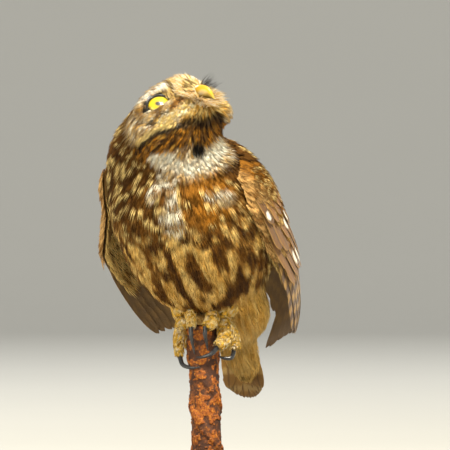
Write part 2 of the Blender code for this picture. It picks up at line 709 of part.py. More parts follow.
def bar_cutter(grow):
    rings = [
        [round_bar(a, grow + RIB_HEIGHT, h) for a in np.linspace(0, 360, 24, endpoint=False)]
        for h in (BAR_FOOT, BAR_TOP + GAP)
    ]
    return lofted("cutter", np.array(rings))


def claw_tube(name, knots, grow=0.0, finish=None):
    return tube(name, wrap(knots), 7, 6, finish, grow, pointed=True)


def build_leg(side, feather, horn):
    leg = tube("leg_" + side, SHANKS[side], 5, 10, feather)
    toes = [tube("toe", wrap(toe), 7, 7) for toe, _ in TOES[side].values()]
    combine(leg, toes, "UNION")
    cutters = [bar_cutter(GAP), flesh_cutter(), soft_coverts("cutter", 1.5 * GAP)]
    cutters += [claw_tube("cutter", claw, GAP) for _, claw in TOES[side].values()]
    combine(leg, cutters, "DIFFERENCE")
    for toe, (_, claw) in TOES[side].items():
        claw_tube(f"claw_{side}_{toe}", claw, finish=horn)


def build_bar(finish):
    """The rusty bar, with the low ribs that wind round it."""
    heights = np.linspace(BAR_FOOT, BAR_TOP, 17)
    turn = np.linspace(0, 360, 18, endpoint=False)
    rings = []
    for h in heights:
        phase = np.radians(turn + 360.0 * h / (RIB_PITCH * RIB_STARTS)) * RIB_STARTS
        rib = RIB_HEIGHT * np.clip(np.cos(phase) * 2.0 - 1.0, 0.0, 1.0)
        rings.append([round_bar(a, r, h) for a, r in zip(turn, rib)])
    return lofted("perch_bar", np.array(rings), finish)


def build_stand(wood, steel):
    def disc(radius, height, sides):
        turn = np.linspace(0, 2 * np.pi, sides, endpoint=False)
        return np.stack([radius * np.cos(turn), radius * np.sin(turn), np.full(sides, height)], -1)

    base = [
        disc(BASE_RADIUS, 0.0, 48),
        disc(BASE_RADIUS, BASE_THICK - BASE_BEVEL, 48),
        disc(BASE_RADIUS - BASE_BEVEL, BASE_THICK, 48),
    ]
    lofted("stand_base", np.array(base), wood)
    pin = [disc(PIN_RADIUS, BASE_THICK + GAP, 20), disc(PIN_RADIUS, BAR_FOOT - GAP, 20)]
    lofted("stand_rod", np.array(pin), steel)


def main():
    for old in list(bpy.data.objects):
        bpy.data.objects.remove(old)
    brown = material("feather_brown", (0.23, 0.13, 0.06), 0.85)
    cream = material("feather_cream", (0.72, 0.6, 0.42), 0.85)
    toe = material("toe_feather", (0.78, 0.62, 0.3), 0.85)
    horn = material("claw_horn", (0.09, 0.09, 0.1), 0.3)
    yellow = material("bill_yellow", (0.75, 0.6, 0.1), 0.4)
    iris = material("eye", (0.85, 0.75, 0.05), 0.05)
    rust = material("rusty_steel", (0.4, 0.16, 0.06), 0.8, 0.2)
    wood = material("stand_wood", (0.1, 0.07, 0.05), 0.5)
    steel = material("stand_steel", (0.5, 0.5, 0.5), 0.3, 1.0)
    build_torso(cream)
    build_neck(brown)
    build_head(brown)
    build_bill(yellow)
    for name, side in (("right", 1), ("left", -1)):
        eye_shape("eye_" + name, side, finish=iris)
    build_wing("wing_left", 1, brown)
    build_wing("wing_right", -1, brown)
    build_tail(brown)
    for side in ("right", "left"):
        build_leg(side, toe, horn)
    build_bar(rust)
    build_stand(wood, steel)


if __name__ == "__main__":
    main()
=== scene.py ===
"""Looks of a little owl that grips the top of a rusty bar, head thrown back and turned.

Lengths in the named values are millimetres and angles are degrees; meshes are built in metres. The bird is
described in two frames of its own. Body frame: ALONG towards the neck, LEFT towards its left wing, BELLY
out of the breast. Head frame: AHEAD along the bill, RIGHT towards its right ear, CROWN out of the top.
"""

import json
import math

import bpy
import numpy as np
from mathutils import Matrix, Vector

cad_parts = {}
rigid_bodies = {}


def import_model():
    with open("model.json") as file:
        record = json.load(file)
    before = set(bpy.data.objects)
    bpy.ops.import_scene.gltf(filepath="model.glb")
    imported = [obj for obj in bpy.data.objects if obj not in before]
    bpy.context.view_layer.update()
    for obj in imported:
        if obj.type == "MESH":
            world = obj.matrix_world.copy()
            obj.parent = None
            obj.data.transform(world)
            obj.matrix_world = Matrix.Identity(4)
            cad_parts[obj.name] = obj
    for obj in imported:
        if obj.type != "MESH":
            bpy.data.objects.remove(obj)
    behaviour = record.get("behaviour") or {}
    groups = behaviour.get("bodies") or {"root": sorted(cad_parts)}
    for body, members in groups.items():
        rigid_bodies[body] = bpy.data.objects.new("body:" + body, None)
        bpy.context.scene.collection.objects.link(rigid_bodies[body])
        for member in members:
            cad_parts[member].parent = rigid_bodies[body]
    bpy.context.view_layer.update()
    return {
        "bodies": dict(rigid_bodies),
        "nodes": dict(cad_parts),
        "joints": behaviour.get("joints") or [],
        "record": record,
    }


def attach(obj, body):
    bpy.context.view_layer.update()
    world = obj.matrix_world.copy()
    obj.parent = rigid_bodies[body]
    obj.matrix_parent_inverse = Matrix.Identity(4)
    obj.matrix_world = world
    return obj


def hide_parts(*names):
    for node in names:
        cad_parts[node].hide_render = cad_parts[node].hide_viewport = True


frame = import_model()

MM = 0.001
UP = np.array([0.0, 0.0, 1.0])
SEED = 11

# How the bird holds itself, as in the solids
BODY_TURN, BODY_LIFT = 22.0, 50.0
HEAD_TURN, HEAD_LIFT, HEAD_ROLL = 39.0, 57.0, 18.6
TORSO_CENTRE = np.array([-4.7, 0.0, 128.5])
HEAD_CENTRE = np.array([-15.4, -24.0, 177.2])
NECK_CENTRE = np.array([-22.0, -11.5, 159.0])
EYE_SPLAY = 31.0
TORSO_HALF = (50.0, 40.0, 40.0)
BREAST_HALF = (29.0, 31.0, 33.5)
NECK_HALF = (29.0, 28.5, 26.5)
SKULL_HALF = (23.5, 27.5, 20.3)
DISC_HALF = (7.5, 19.0, 12.5)
BROW_PLACE, BROW_RUN, BROW_HALF = (14.8, 16.0, 10.2), (-14.0, 16.0, 3.0), (13.5, 3.4, 3.2)

# The bar and the stand
BAR_RADIUS, BAR_FOOT, BAR_TOP, BAR_LEAN = 7.5, 15.0, 78.5, -0.0445
RIB_HEIGHT, RIB_PITCH, RIB_STARTS = 0.45, 26.0, 2
BASE_RADIUS, BASE_THICK, BASE_BEVEL = 55.0, 8.0, 1.5
PIN_RADIUS = 4.0

# Depth of the plumage over the skin, on the body and on the face
BODY_COAT, FACE_COAT = 3.0, 1.5

# Colours of the plumage as they look in daylight, from dark to light
INK = (0.09, 0.06, 0.03)
DARK = (0.27, 0.16, 0.04)
BROWN = (0.50, 0.325, 0.095)
EARTH = (0.57, 0.42, 0.20)
RUFOUS = (0.75, 0.50, 0.14)
TAN = (0.86, 0.66, 0.28)
STRAW = (0.95, 0.74, 0.20)
GREY = (0.80, 0.72, 0.57)
CREAM = (0.97, 0.85, 0.55)
WHITE = (1.0, 0.975, 0.90)


def paint(colour):
    """Linear light of a colour given as it looks: ((c + 0.055) / 1.055) to the power 2.4."""
    return ((np.asarray(colour, float) + 0.055) / 1.055) ** 2.4


def unit(v):
    v = np.asarray(v, float)
    return v / np.maximum(np.linalg.norm(v, axis=-1, keepdims=True), 1e-9)


def turned(a, b, angle):
    """Direction a swung towards b by an angle."""
    t = math.radians(angle)
    return math.cos(t) * np.asarray(a) + math.sin(t) * np.asarray(b)


def facing(turn, lift):
    """Unit vector out of the front, swung towards +X by turn and raised by lift."""
    return turned(turned((0.0, -1.0, 0.0), (1.0, 0.0, 0.0), turn), UP, lift)


FRONT = facing(-BODY_TURN, 0.0)
ALONG = turned(FRONT, UP, BODY_LIFT)
LEFT = np.cross(UP, FRONT)
BELLY = turned(FRONT, -UP, 90.0 - BODY_LIFT)
BODY = np.stack([ALONG, LEFT, BELLY])

AHEAD = facing(HEAD_TURN, HEAD_LIFT)
LEVEL_RIGHT = unit(np.cross(AHEAD, UP))
RIGHT = turned(LEVEL_RIGHT, -np.cross(LEVEL_RIGHT, AHEAD), HEAD_ROLL)
CROWN = np.cross(RIGHT, AHEAD)
HEAD = np.stack([AHEAD, RIGHT, CROWN])


def in_head(ahead, right, crown):
    return HEAD_CENTRE + ahead * AHEAD + right * RIGHT + crown * CROWN


def in_body(along, left, belly):
    return TORSO_CENTRE + along * ALONG + left * LEFT + belly * BELLY


def head_places(points):
    """Places in the head's axes: ahead, right and crown."""
    return (points - HEAD_CENTRE) @ HEAD.T


def body_places(points):
    """Distance along the body and angle round it from the belly, positive towards the left wing."""
    local = (points - TORSO_CENTRE) @ BODY.T
    return local[..., 0], np.degrees(np.arctan2(local[..., 1], local[..., 2]))


def eye_frame(side):
    """Gaze of one eye and the two directions across it: side is 1 on the bird's right, -1 on its left."""
    axis = turned(AHEAD, side * RIGHT, EYE_SPLAY)
    return np.stack([axis, np.cross(axis, CROWN) * side, CROWN])


def brow_frame(side):
    """Axes of the ridge over one eye, which runs back and outwards from beside the bill."""
    run = unit(BROW_RUN[0] * AHEAD + BROW_RUN[1] * side * RIGHT + BROW_RUN[2] * CROWN)
    across = unit(np.cross(run, CROWN))
    return np.stack([run, across, np.cross(run, across)])


IRIS_PLACE = (14.0, 17.9, 4.7)
EYES = {side: in_head(IRIS_PLACE[0], side * IRIS_PLACE[1], IRIS_PLACE[2]) for side in (1, -1)}
BILL_ROOT = in_head(21.0, 0.0, -4.0)

# Centre, frame, half lengths and blend width of each swelling that the plumage's outline is made of
SWELLINGS = (
    (TORSO_CENTRE, BODY, TORSO_HALF, 1.0),
    (in_body(20.0, -6.5, 5.0), BODY, BREAST_HALF, 10.0),
    (NECK_CENTRE, BODY, NECK_HALF, 8.0),
    (in_head(-1.5, 0.3, 0.8), HEAD, SKULL_HALF, 7.0),
    (in_head(8.8, 12.3, 2.6), eye_frame(1), DISC_HALF, 4.0),
    (in_head(9.8, -12.3, 1.2), eye_frame(-1), DISC_HALF, 4.0),
    (in_head(13.0, 2.0, -8.0), HEAD, (8.5, 13.0, 7.0), 4.0),
    (in_head(12.0, -15.0, -11.0), HEAD, (7.5, 8.0, 7.5), 5.0),
    (in_head(14.5, 0.0, 7.5), HEAD, (8.5, 15.5, 7.5), 6.0),
    (in_head(19.0, 0.0, -2.0), HEAD, (7.5, 7.5, 8.5), 5.0),
    (in_head(*BROW_PLACE), brow_frame(1), BROW_HALF, 3.5),
    (in_head(BROW_PLACE[0], -BROW_PLACE[1], BROW_PLACE[2]), brow_frame(-1), BROW_HALF, 3.5),
)
# The soft cone of feathers under the tail
VENT_SWELLINGS = (
    (in_body(-44.0, 7.0, 7.5), BODY, (26.0, 21.5, 12.5), 5.0),
    (in_body(-70.0, 3.6, 4.9), BODY, (29.0, 10.5, 6.4), 5.0),
)


# Low rims round the eyes, where the small feathers of the lids stand
RIM_SWELLINGS = tuple(
    (EYES[side] - 2.2 * eye_frame(side)[0], eye_frame(side), (3.6, 10.5, 9.5), 3.5) for side in (1, -1))


def smoothstep(low, high, x):
    """S curve from 0 at low to 1 at high: 3t^2 - 2t^3."""
    t = np.clip((x - low) / (high - low), 0.0, 1.0)
    return t * t * (3.0 - 2.0 * t)


def ellipsoid_distance(points, centre, frame, half):
    """Rough distance to an ellipsoid: |p/h| (|p/h| - 1) / |p/h^2|."""
    local = (points - centre) @ frame.T
    near = np.linalg.norm(local / half, axis=-1)
    slope = np.linalg.norm(local / np.square(half), axis=-1)
    return near * (near - 1.0) / np.maximum(slope, 1e-9)


def joined(points, swellings, total=None):
    """Smooth minimum of the distances to several ellipsoids."""
    for centre, frame, half, blend in swellings:
        one = ellipsoid_distance(points, centre, frame, np.array(half))
        if total is None:
            total = one
            continue
        share = np.maximum(blend - np.abs(total - one), 0.0) / blend
        total = np.minimum(total, one) - share * share * blend * 0.25
    return total


def plumage(points):
    """About how far each point is outside the plumage of head, neck and torso."""
    return joined(points, SWELLINGS)


def whole_plumage(points):
    """The same with the soft cone under the tail and the rims round the eyes."""
    return joined(points, VENT_SWELLINGS + RIM_SWELLINGS, plumage(points))


def slope(points, field=whole_plumage, step=0.4):
    """Unit direction in which a field grows, and how fast, from differences along x, y and z."""
    parts = [field(points + step * e) - field(points - step * e) for e in np.eye(3)]
    gradient = np.stack(parts, -1) / (2.0 * step)
    steep = np.linalg.norm(gradient, axis=-1)
    return gradient / np.maximum(steep, 1e-6)[..., None], steep


def settle(points, level, field=whole_plumage, turns=2):
    """Moves points along the field's slope until the field there is level."""
    for _ in range(turns):
        out, steep = slope(points, field)
        points = points - ((field(points) - level) / np.maximum(steep, 0.3))[..., None] * out
    return points


def lattice_noise(points, seed=0):
    """Smooth noise of 0 to 1: hashed numbers on a lattice of whole numbers, blended by S curves."""
    cell = np.floor(points).astype(np.int64)
    share = points - cell
    share = share * share * (3.0 - 2.0 * share)
    total = 0.0
    for corner in range(8):
        offset = np.array([corner & 1, corner >> 1 & 1, corner >> 2 & 1])
        mixed = (cell + offset) * np.array([73856093, 19349663, 83492791])
        key = mixed[..., 0] ^ mixed[..., 1] ^ mixed[..., 2] ^ (seed * 2654435761)
        key = (key & 0xFFFFFFFF) * 1274126177 & 0xFFFFFFFF
        key = (key ^ key >> 15) * 2246822519 & 0xFFFFFFFF
        key ^= key >> 13
        total = total + np.prod(np.where(offset, share, 1.0 - share), axis=-1) * key / 4294967296.0
    return total


def cloud(points, seed=0, octaves=3):
    """Sum of lattice noises, each twice as fine and half as strong."""
    total = sum(lattice_noise(points * 2.0**k, seed + 17 * k) * 0.5**k for k in range(octaves))
    return total / (2.0 - 0.5 ** (octaves - 1))


# Meshes


def add_mesh(name, points, faces, finish, uv=None, colours=None, values=None, smooth=True):
    """One object at the origin from arrays: points (n, 3) in mm, faces (m, 3) or (m, 4), uv and colours for
    each point or corner, values as float attributes."""
    points = np.asarray(points, np.float32) * MM
    faces = np.asarray(faces, np.int32)
    corners = faces.shape[1]
    mesh = bpy.data.meshes.new(name)
    mesh.vertices.add(len(points))
    mesh.vertices.foreach_set("co", points.ravel())
    mesh.loops.add(faces.size)
    mesh.loops.foreach_set("vertex_index", faces.ravel())
    mesh.polygons.add(len(faces))
    mesh.polygons.foreach_set("loop_start", np.arange(0, faces.size, corners, dtype=np.int32))
    mesh.polygons.foreach_set("loop_total", np.full(len(faces), corners, np.int32))
    mesh.update(calc_edges=True)
    if uv is not None:
        for title, values_uv in uv.items():
            layer = mesh.uv_layers.new(name=title)
            at = values_uv if len(values_uv) == faces.size else values_uv[faces.ravel()]
            layer.data.foreach_set("uv", np.asarray(at, np.float32).ravel())
    if colours is not None:
        layer = mesh.color_attributes.new("coat_colour", "FLOAT_COLOR", "POINT")
        full = np.ones((len(points), 4), np.float32)
        full[:, :3] = colours
        layer.data.foreach_set("color", full.ravel())
    for title, amounts in (values or {}).items():
        layer = mesh.attributes.new(title, "FLOAT", "POINT")
        layer.data.foreach_set("value", np.asarray(amounts, np.float32))
    if smooth:
        mesh.shade_smooth()
    mesh.materials.append(finish)
    made = bpy.data.objects.new(name, mesh)
    bpy.context.scene.collection.objects.link(made)
    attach(made, "root")
    return made


def facing_out(points, faces):
    """The faces, turned over if the closed surface they make has its inside out (negative signed volume)."""
    corners = np.asarray(points)[np.asarray(faces)]
    volume = np.einsum("ij,ij->i", corners[:, 0], np.cross(corners[:, 1], corners[:, 2])).sum()
    if faces.shape[1] == 4:
        volume += np.einsum("ij,ij->i", corners[:, 0], np.cross(corners[:, 2], corners[:, 3])).sum()
    return faces if volume > 0 else faces[:, ::-1]


def grid_faces(rows, columns, closed_rows=False, closed_columns=False):
    """Quads between neighbours of a grid of points numbered row by row."""
    r = np.arange(rows if closed_rows else rows - 1)[:, None]
    c = np.arange(columns if closed_columns else columns - 1)[None, :]
    r2, c2 = (r + 1) % rows, (c + 1) % columns
    quads = np.stack([r * columns + c, r * columns + c2, r2 * columns + c2, r2 * columns + c], -1)
    return quads.reshape(-1, 4)


def halved(quads):
    """Two triangles for each quad."""
    return np.concatenate([quads[:, [0, 1, 2]], quads[:, [0, 2, 3]]])


def circle(count):
    """Angles at even steps round a circle."""
    return np.linspace(0.0, 2.0 * np.pi, count, endpoint=False)


def ringed(centre, size, side, up, sides, flatten=1.0):
    """Rings round the points of a path: centre + size (flatten cos t side + sin t up), t round a circle."""
    turn = circle(sides)[:, None]
    rim = flatten * np.cos(turn) * side[..., None, :] + np.sin(turn) * up[..., None, :]
    return centre[..., None, :] + size[..., None, None] * rim


def plate_faces(rows, columns):
    """Triangles of a closed plate: upper grid, lower grid numbered after it, and the walls between."""
    per = rows * columns
    up = halved(grid_faces(rows, columns))
    rim = np.concatenate([np.arange(columns), np.arange(2, rows) * columns - 1, [per - 1],
                          np.arange(per - 2, per - columns - 1, -1), np.arange(rows - 2, 0, -1) * columns])
    after = np.roll(rim, -1)
    walls = np.stack([rim, per + rim, per + after, after], -1)
    return np.concatenate([up, up[:, ::-1] + per, halved(walls)])


def tube_surface(rings):
    """Closed triangles through rings (rows, around, 3), with a middle point closing each end."""
    rows, around = rings.shape[:2]
    points = np.concatenate([rings.reshape(-1, 3), rings[:1].mean(1), rings[-1:].mean(1)])
    sides = halved(grid_faces(rows, around, closed_columns=True))
    i, last = np.arange(around), (rows - 1) * around
    j = (i + 1) % around
    low = np.stack([j, i, np.full(around, rows * around)], -1)
    high = np.stack([last + i, last + j, np.full(around, rows * around + 1)], -1)
    faces = np.concatenate([sides, low, high])
    return points, facing_out(points, faces)


def joined_meshes(parts):
    """Several (points, faces) as one pair."""
    points, faces, start = [], [], 0
    for p, f in parts:
        points.append(p)
        faces.append(f + start)
        start += len(p)
    return np.concatenate(points), np.concatenate(faces)


def between(a, b, c, d, t):
    """Catmull-Rom curve from b at t = 0 to c at t = 1, with a before and d after."""
    return 0.5 * (2 * b + (c - a) * t + (2 * a - 5 * b + 4 * c - d) * t**2 + (3 * b - a - 3 * c + d) * t**3)


def smooth_path(knots, count):
    """Points of a smooth curve through the knots, with the sizes that ride on them."""
    knots = np.asarray(knots, float)
    ends = np.vstack([2 * knots[0] - knots[1], knots, 2 * knots[-1] - knots[-2]])
    at = np.linspace(0, len(knots) - 1, count)
    span = np.minimum(at.astype(int), len(knots) - 2)
    return between(*(ends[span + k] for k in range(4)), (at - span)[:, None])


def path_frames(path):
    """Heading and two directions across it at each point of a path, from one fixed side direction."""
    heading = unit(np.gradient(path, axis=0))
    side = unit(np.cross(heading, UP + 0.3 * LEFT))
    return heading, side, np.cross(heading, side)


# Colour markings of the plumage, from places on the bird


def near_line(local, knots):
    """Distance from points to a chain of straight pieces through knots, both in the head's own axes."""
    knots = np.asarray(knots, float)
    best = None
    for a, b in zip(knots[:-1], knots[1:]):
        span = b - a
        t = np.clip(((local - a) @ span) / (span @ span), 0.0, 1.0)
        gap = np.linalg.norm(local - a - t[..., None] * span, axis=-1)
        best = gap if best is None else np.minimum(best, gap)
    return best


# Bands of the face in the head's axes (ahead, right, crown), alike on both sides
BROW_LINE = ((10, 24, 15), (14, 22, 12.5), (17, 19, 11.5), (20, 15, 10), (22, 13, 9))
FOREHEAD_LINE = ((21, 15, 7), (23, 10, 8), (24.5, 5, 6.5), (26, 2, 3))
LORE_LINE = ((24, 6, -1), (21.5, 10, 1), (19.5, 13, 3))
GAPE_LINE = ((24, 5.5, -3.5), (22, 9, -2.5), (19, 13.5, -2.5), (17, 16, -3))
SPECK_LINE = ((17.5, 15.5, -4), (15, 20, -3), (12.5, 23, -1.5), (9, 25, 0), (3, 27, 2))
CHEEK_LINE = ((20, 10, -8), (17, 15, -7), (13, 20, -5.5), (9, 24, -4))
MOUSTACHE_LINE = ((10.5, 20, -9), (8.5, 24, -6), (5, 27, -4), (1, 29, -2), (-6, 27, 2))
# Lower rim of the facial disc: a thin jagged black line, painted shadow under the overhanging cheek feathers.
RUFF_SHADOW_LINE = ((12, 15.5, -13), (10, 18.5, -11), (6.8, 23, -8), (3.5, 27, -4.5), (-9, 26.5, 1.5))
BAND_LINE = ((5, 0, -19), (8, 6, -17.5), (5.5, 15, -15), (3.5, 20, -12.5), (0.5, 24, -9.5), (-3, 26, -6),
             (-10, 26, -1))
CHIN_LINE = ((20, 0, -12.5), (19, 8, -11), (18, 11, -11))
# Where the beard meets the throat: a band painted dark brown and black as painted shadow under the chin.
CHIN_SHADOW_LINE = ((12.5, 0, -16.8), (12.5, 4, -16), (12.5, 10, -15), (12.2, 14.5, -13))
# The white of the throat, which the turned head leaves askew
THROAT_LINE = ((-9.5, 24, -9.5), (-8, 19.5, -15.5), (-8.5, 14, -22.5), (-5, 7, -26), (-1.5, -2, -25.5),
               (0, -13, -22))
# Hollow in the throat: the skin dips here, and the feathers round it are painted black as painted shade.
HOLLOW = np.array([0.2, 7.2, -20.6])
# Pale lines of the body as (distance along it, degrees round it): the middle, then tufts with half widths
MIDDLE_LINE = ((52, 14), (40, 15), (22, 8), (8, 6), (-12, 10), (-26, 9))
TUFT_LINES = ((((54, 16), (45, 13), (32, 10)), 6.0), (((52, 10), (46, -2), (41, -12)), 3.6),
              (((34, 42), (29, 66)), 2.0), (((53, 18), (46, 22)), 3.2))
ARC_RADIUS = 38.0


def blended(base, colour, share):
    return base + (paint(colour) - base) * np.asarray(share)[..., None]


def layered(colour, *coats):
    """A colour under coats of (colour, share), each blended over what is there."""
    for coat, share in coats:
        colour = blended(colour, coat, share)
    return colour


def spot(u, v, wide, begin, end):
    """A spot on a feather: 1 near its shaft and between two shares of its length, with soft edges."""
    return smoothstep(*wide, np.abs(v)) * smoothstep(*begin, u) * smoothstep(*end, u)


def shaded(colour, shade):
    """A colour times a shade, kept between 0 and 1."""
    return np.clip(colour * shade[..., None], 0.0, 1.0)


def body_line(along, around, knots):
    """Distance over the body's surface to a line of (along, degrees round)."""
    here = np.stack([along, np.radians(around) * ARC_RADIUS, 0.0 * along], -1)
    return near_line(here, [(a, math.radians(b) * ARC_RADIUS, 0.0) for a, b in knots])


def body_markings(points, u, v, dice):
    """Cream with brown streaks down the belly where stretched noise is high; breast golden brown with cream
    drops; back, nape and flanks dark brown with small drops; pale lines down and across the breast."""
    along, around = body_places(points)
    arc = np.radians(around) * ARC_RADIUS
    tone, luck = dice[..., 0], dice[..., 1]
    flat = np.stack([arc, along, 0.0 * arc], -1)
    warp = cloud(flat / 13.0, 5, 2) - 0.5
    high = smoothstep(4.0, 26.0, along)
    shifted = arc + 5.0 * warp
    cells = np.stack([shifted / 3.9, along / (10.0 - 4.5 * high), 0.0 * arc], -1)
    streak = cloud(cells, 1, 2)
    edges = cloud(cells * np.array([2.3, 1.4, 1.0]), 13, 2)

    # Belly
    vent = smoothstep(-24.0, -40.0, along)
    middle = smoothstep(4.2, 1.2, body_line(along, around, MIDDLE_LINE))
    low = 0.455 + 0.20 * middle + 0.5 * vent + 0.05 * (tone - 0.5)
    dark = smoothstep(low - 0.045, low + 0.045, streak)
    colour = layered(
        paint(CREAM) + 0.0 * points,
        (TAN, 0.25 + 0.5 * smoothstep(0.35, 0.7, edges) - 0.2 * high + 0.1 * vent),
        (RUFOUS, smoothstep(low - 0.12, low - 0.02, streak) * 0.65),
        (BROWN, dark),
        (DARK, dark * smoothstep(0.40, 0.58, edges) * 0.85))

    # Breast
    breast = smoothstep(18.0, 27.0, along + 7.0 * warp) * smoothstep(112.0, 92.0, np.abs(around))
    warm = smoothstep(8.0, 40.0, around)[..., None]
    rich = paint(BROWN) * (1.0 - warm) + (0.85 * paint(RUFOUS) + 0.15 * paint(BROWN)) * warm
    drop = spot(u, v, (0.74, 0.5), (0.52, 0.66), (1.08, 0.96))
    rich = layered(rich, (DARK, 0.65 * smoothstep(0.46, 0.62, edges) * (1.0 - 0.65 * warm[..., 0])),
                   (CREAM, drop * (luck < 0.36) * 0.9))
    colour = colour + (rich - colour) * breast[..., None]

    # Back, nape and flanks
    behind = smoothstep(64.0, 84.0, np.abs(around)) * smoothstep(-60.0, -30.0, along)
    nape = smoothstep(24.0, 38.0, along - 0.1 * around) * smoothstep(-20.0, -34.0, around)
    behind = np.maximum(behind, nape)
    small = spot(u, v, (0.66, 0.42), (0.58, 0.7), (1.06, 0.96))
    mantle = layered(0.75 * paint(BROWN) + 0.0 * points, (DARK, 0.75 * smoothstep(0.4, 0.6, edges)),
                     (CREAM, small * (luck < 0.42) * 0.85))
    colour = colour + (mantle - colour) * behind[..., None]

    # Pale lines
    colour = blended(colour, CREAM, middle * breast * 0.85)
    for knots, half in TUFT_LINES:
        near = body_line(along, around, knots) + 2.0 * (tone - 0.5) + 9.0 * warp
        hairs = smoothstep(half, 0.5 * half, near)
        colour = layered(colour, (GREY, hairs * 0.8), (WHITE, hairs * (luck > 0.5) * 0.85),
                         (BROWN, hairs * (luck < 0.3) * 0.7))
    return colour


def head_markings(points, u, v, dice, colour):
    """The head over the body's colour: streaked pale face, bands along lines, dotted brown crown, with painted
    shadow under the chin and under the facial disc's rim, and painted shade in the throat's hollow.
    """
    local = head_places(points)
    ahead, right, crown = local[..., 0], np.abs(local[..., 1]), local[..., 2]
    face = np.stack([ahead, right, crown], -1)
    tone, luck = dice[..., 0], dice[..., 1]
    speckle = tone < 0.42
    wave = cloud(points / 4.0, 71, 2) - 0.5
    stripes = cloud(np.stack([(crown + 2.0 * wave) / 1.25, (ahead - right) / 9.0, 0.0 * ahead], -1), 73, 2)
    rays = cloud(np.stack([right / 1.35 + wave, crown / 8.0, 0.0 * ahead], -1), 75, 2)

    def band_on(line, beyond, within, shift=0.0):
        """1 within a distance of a line on the face, falling to 0 beyond another."""
        return smoothstep(beyond, within, near_line(face, line) + shift)

    head = smoothstep(30.0, 24.0, np.linalg.norm(local - np.array([-1.0, 0, 0]), axis=-1))
    near = smoothstep(35.0, 31.0, np.linalg.norm(local, axis=-1))
    head = np.maximum(head, near * smoothstep(-14.0, -6.0, ahead - 0.35 * crown))
    drop = spot(u, v, (0.55, 0.3), (0.5, 0.66), (1.06, 0.9))
    cap = layered(0.8 * paint(BROWN) + 0.0 * points, (DARK, 0.6 * speckle),
                  (CREAM, drop * (luck < 0.6) * 0.9))
    cheek = layered(
        1.25 * paint(GREY) + 0.0 * points,
        (WHITE, 0.5 * (luck > 0.6)),
        (BROWN, 0.8 * smoothstep(0.58, 0.63, stripes + 0.14 * (tone - 0.5))),
        (TAN, 0.5 * (luck < 0.25)))
    on_front = smoothstep(-14.0, -7.0, ahead - 0.25 * crown) * smoothstep(15.0, 12.0, crown - 0.15 * ahead)
    top = cap + (cheek - cap) * on_front[..., None]
    colour = colour + (top - colour) * head[..., None]

    forehead, lore = band_on(FOREHEAD_LINE, 6.0, 4.0), band_on(LORE_LINE, 3.6, 2.2)
    chin, pale = band_on(CHIN_LINE, 8.5, 6.0), band_on(CHEEK_LINE, 3.2, 1.8)
    specks, band = band_on(SPECK_LINE, 1.3, 0.7), band_on(BAND_LINE, 6.0, 4.2)
    brow, notch = band_on(BROW_LINE, 2.8, 1.6), band_on(CHIN_SHADOW_LINE, 3.9, 2.6)
    ragged = 3.0 * (cloud(points / 3.5, 81, 2) - 0.5)
    throat = smoothstep(4.4, 3.0, near_line(local, THROAT_LINE) + 1.6 * (tone - 0.5) + ragged)
    jagged = 0.9 * (cloud(points / 2.0, 61, 2) - 0.5)
    return layered(
        colour,
        (CREAM, forehead * 0.9),
        (DARK, forehead * 0.85 * smoothstep(0.5, 0.57, rays + 0.15 * (tone - 0.5))),
        (CREAM, lore * 0.6),
        (BROWN, lore * speckle * 0.9),
        (TAN, chin * 0.9),
        (CREAM, chin * (luck > 0.4) * 0.9),
        (BROWN, chin * (tone < 0.24) * 0.7),
        (CREAM, pale * 0.85),
        (WHITE, pale * (luck > 0.6) * 0.6),
        (RUFOUS, band_on(GAPE_LINE, 2.4, 1.2) * 0.5),
        (INK, specks * (tone < 0.45) * 0.9),
        (BROWN, band * 0.95),
        (RUFOUS, band * (luck < 0.4) * 0.9),
        (INK, band * (tone < 0.33) * 0.8),
        (TAN, band * (luck > 0.86) * 0.7),
        (WHITE, throat * 0.95),
        (GREY, throat * (luck < 0.3) * 0.6),
        (CREAM, band_on(MOUSTACHE_LINE, 2.2, 1.2) * 0.9),
        (WHITE, brow),
        (RUFOUS, brow * (tone < 0.2) * 0.6),
        # Painted shadow under the overhanging rim of the facial disc.
        (INK, band_on(RUFF_SHADOW_LINE, 1.5, 0.8, jagged) * 0.95),
        # Painted shadow under the chin, along the line where the beard meets the throat.
        (DARK, notch * 0.85),
        (INK, notch * speckle * 0.8),
        # Painted shade: black on the feathers round the hollow in the throat.
        (INK, smoothstep(5.0, 3.4, np.linalg.norm(local - HOLLOW, axis=-1))))


def markings(points, u, v, dice):
    """Colour of the coat: u runs from root to tip of its feather, v across it, dice is its chance number."""
    colour = head_markings(points, u, v, dice, body_markings(points, u, v, dice))
    # Darker towards each feather's root: painted shade between the feathers. The dice tone is random.
    return shaded(colour, (0.86 + 0.34 * dice[..., 2]) * (0.62 + 0.38 * smoothstep(0.0, 0.55, u)))


# The skin: rays out of the line from the torso's centre to the head's

SPINE = HEAD_CENTRE - TORSO_CENTRE
SPINE_LENGTH = float(np.linalg.norm(SPINE))
SPINE_UP = unit(SPINE)
SPINE_SIDE = unit(np.cross(UP, SPINE_UP))
SPINE_FRONT = np.cross(SPINE_SIDE, SPINE_UP)
SOCKET_RADIUS = 8.4


def coat_depth(points):
    """Depth of the plumage over the skin: thick on the body, thin on the head."""
    from_head = np.linalg.norm(points - HEAD_CENTRE, axis=-1)
    return BODY_COAT + (FACE_COAT - BODY_COAT) * smoothstep(42.0, 26.0, from_head)


def skin_field(points):
    """Outside of the skin: the plumage sunk by the coat's depth, hollowed where each eye sits."""
    field = whole_plumage(points) + coat_depth(points)
    hollow = np.linalg.norm(points - in_head(*HOLLOW), axis=-1) - 4.0
    field = np.maximum(field, -hollow)
    for side in (1, -1):
        axis = eye_frame(side)[0]
        behind = EYES[side] - 4.2 * axis
        socket = np.linalg.norm(points - behind, axis=-1) - SOCKET_RADIUS
        field = np.maximum(field, -socket)
    return field


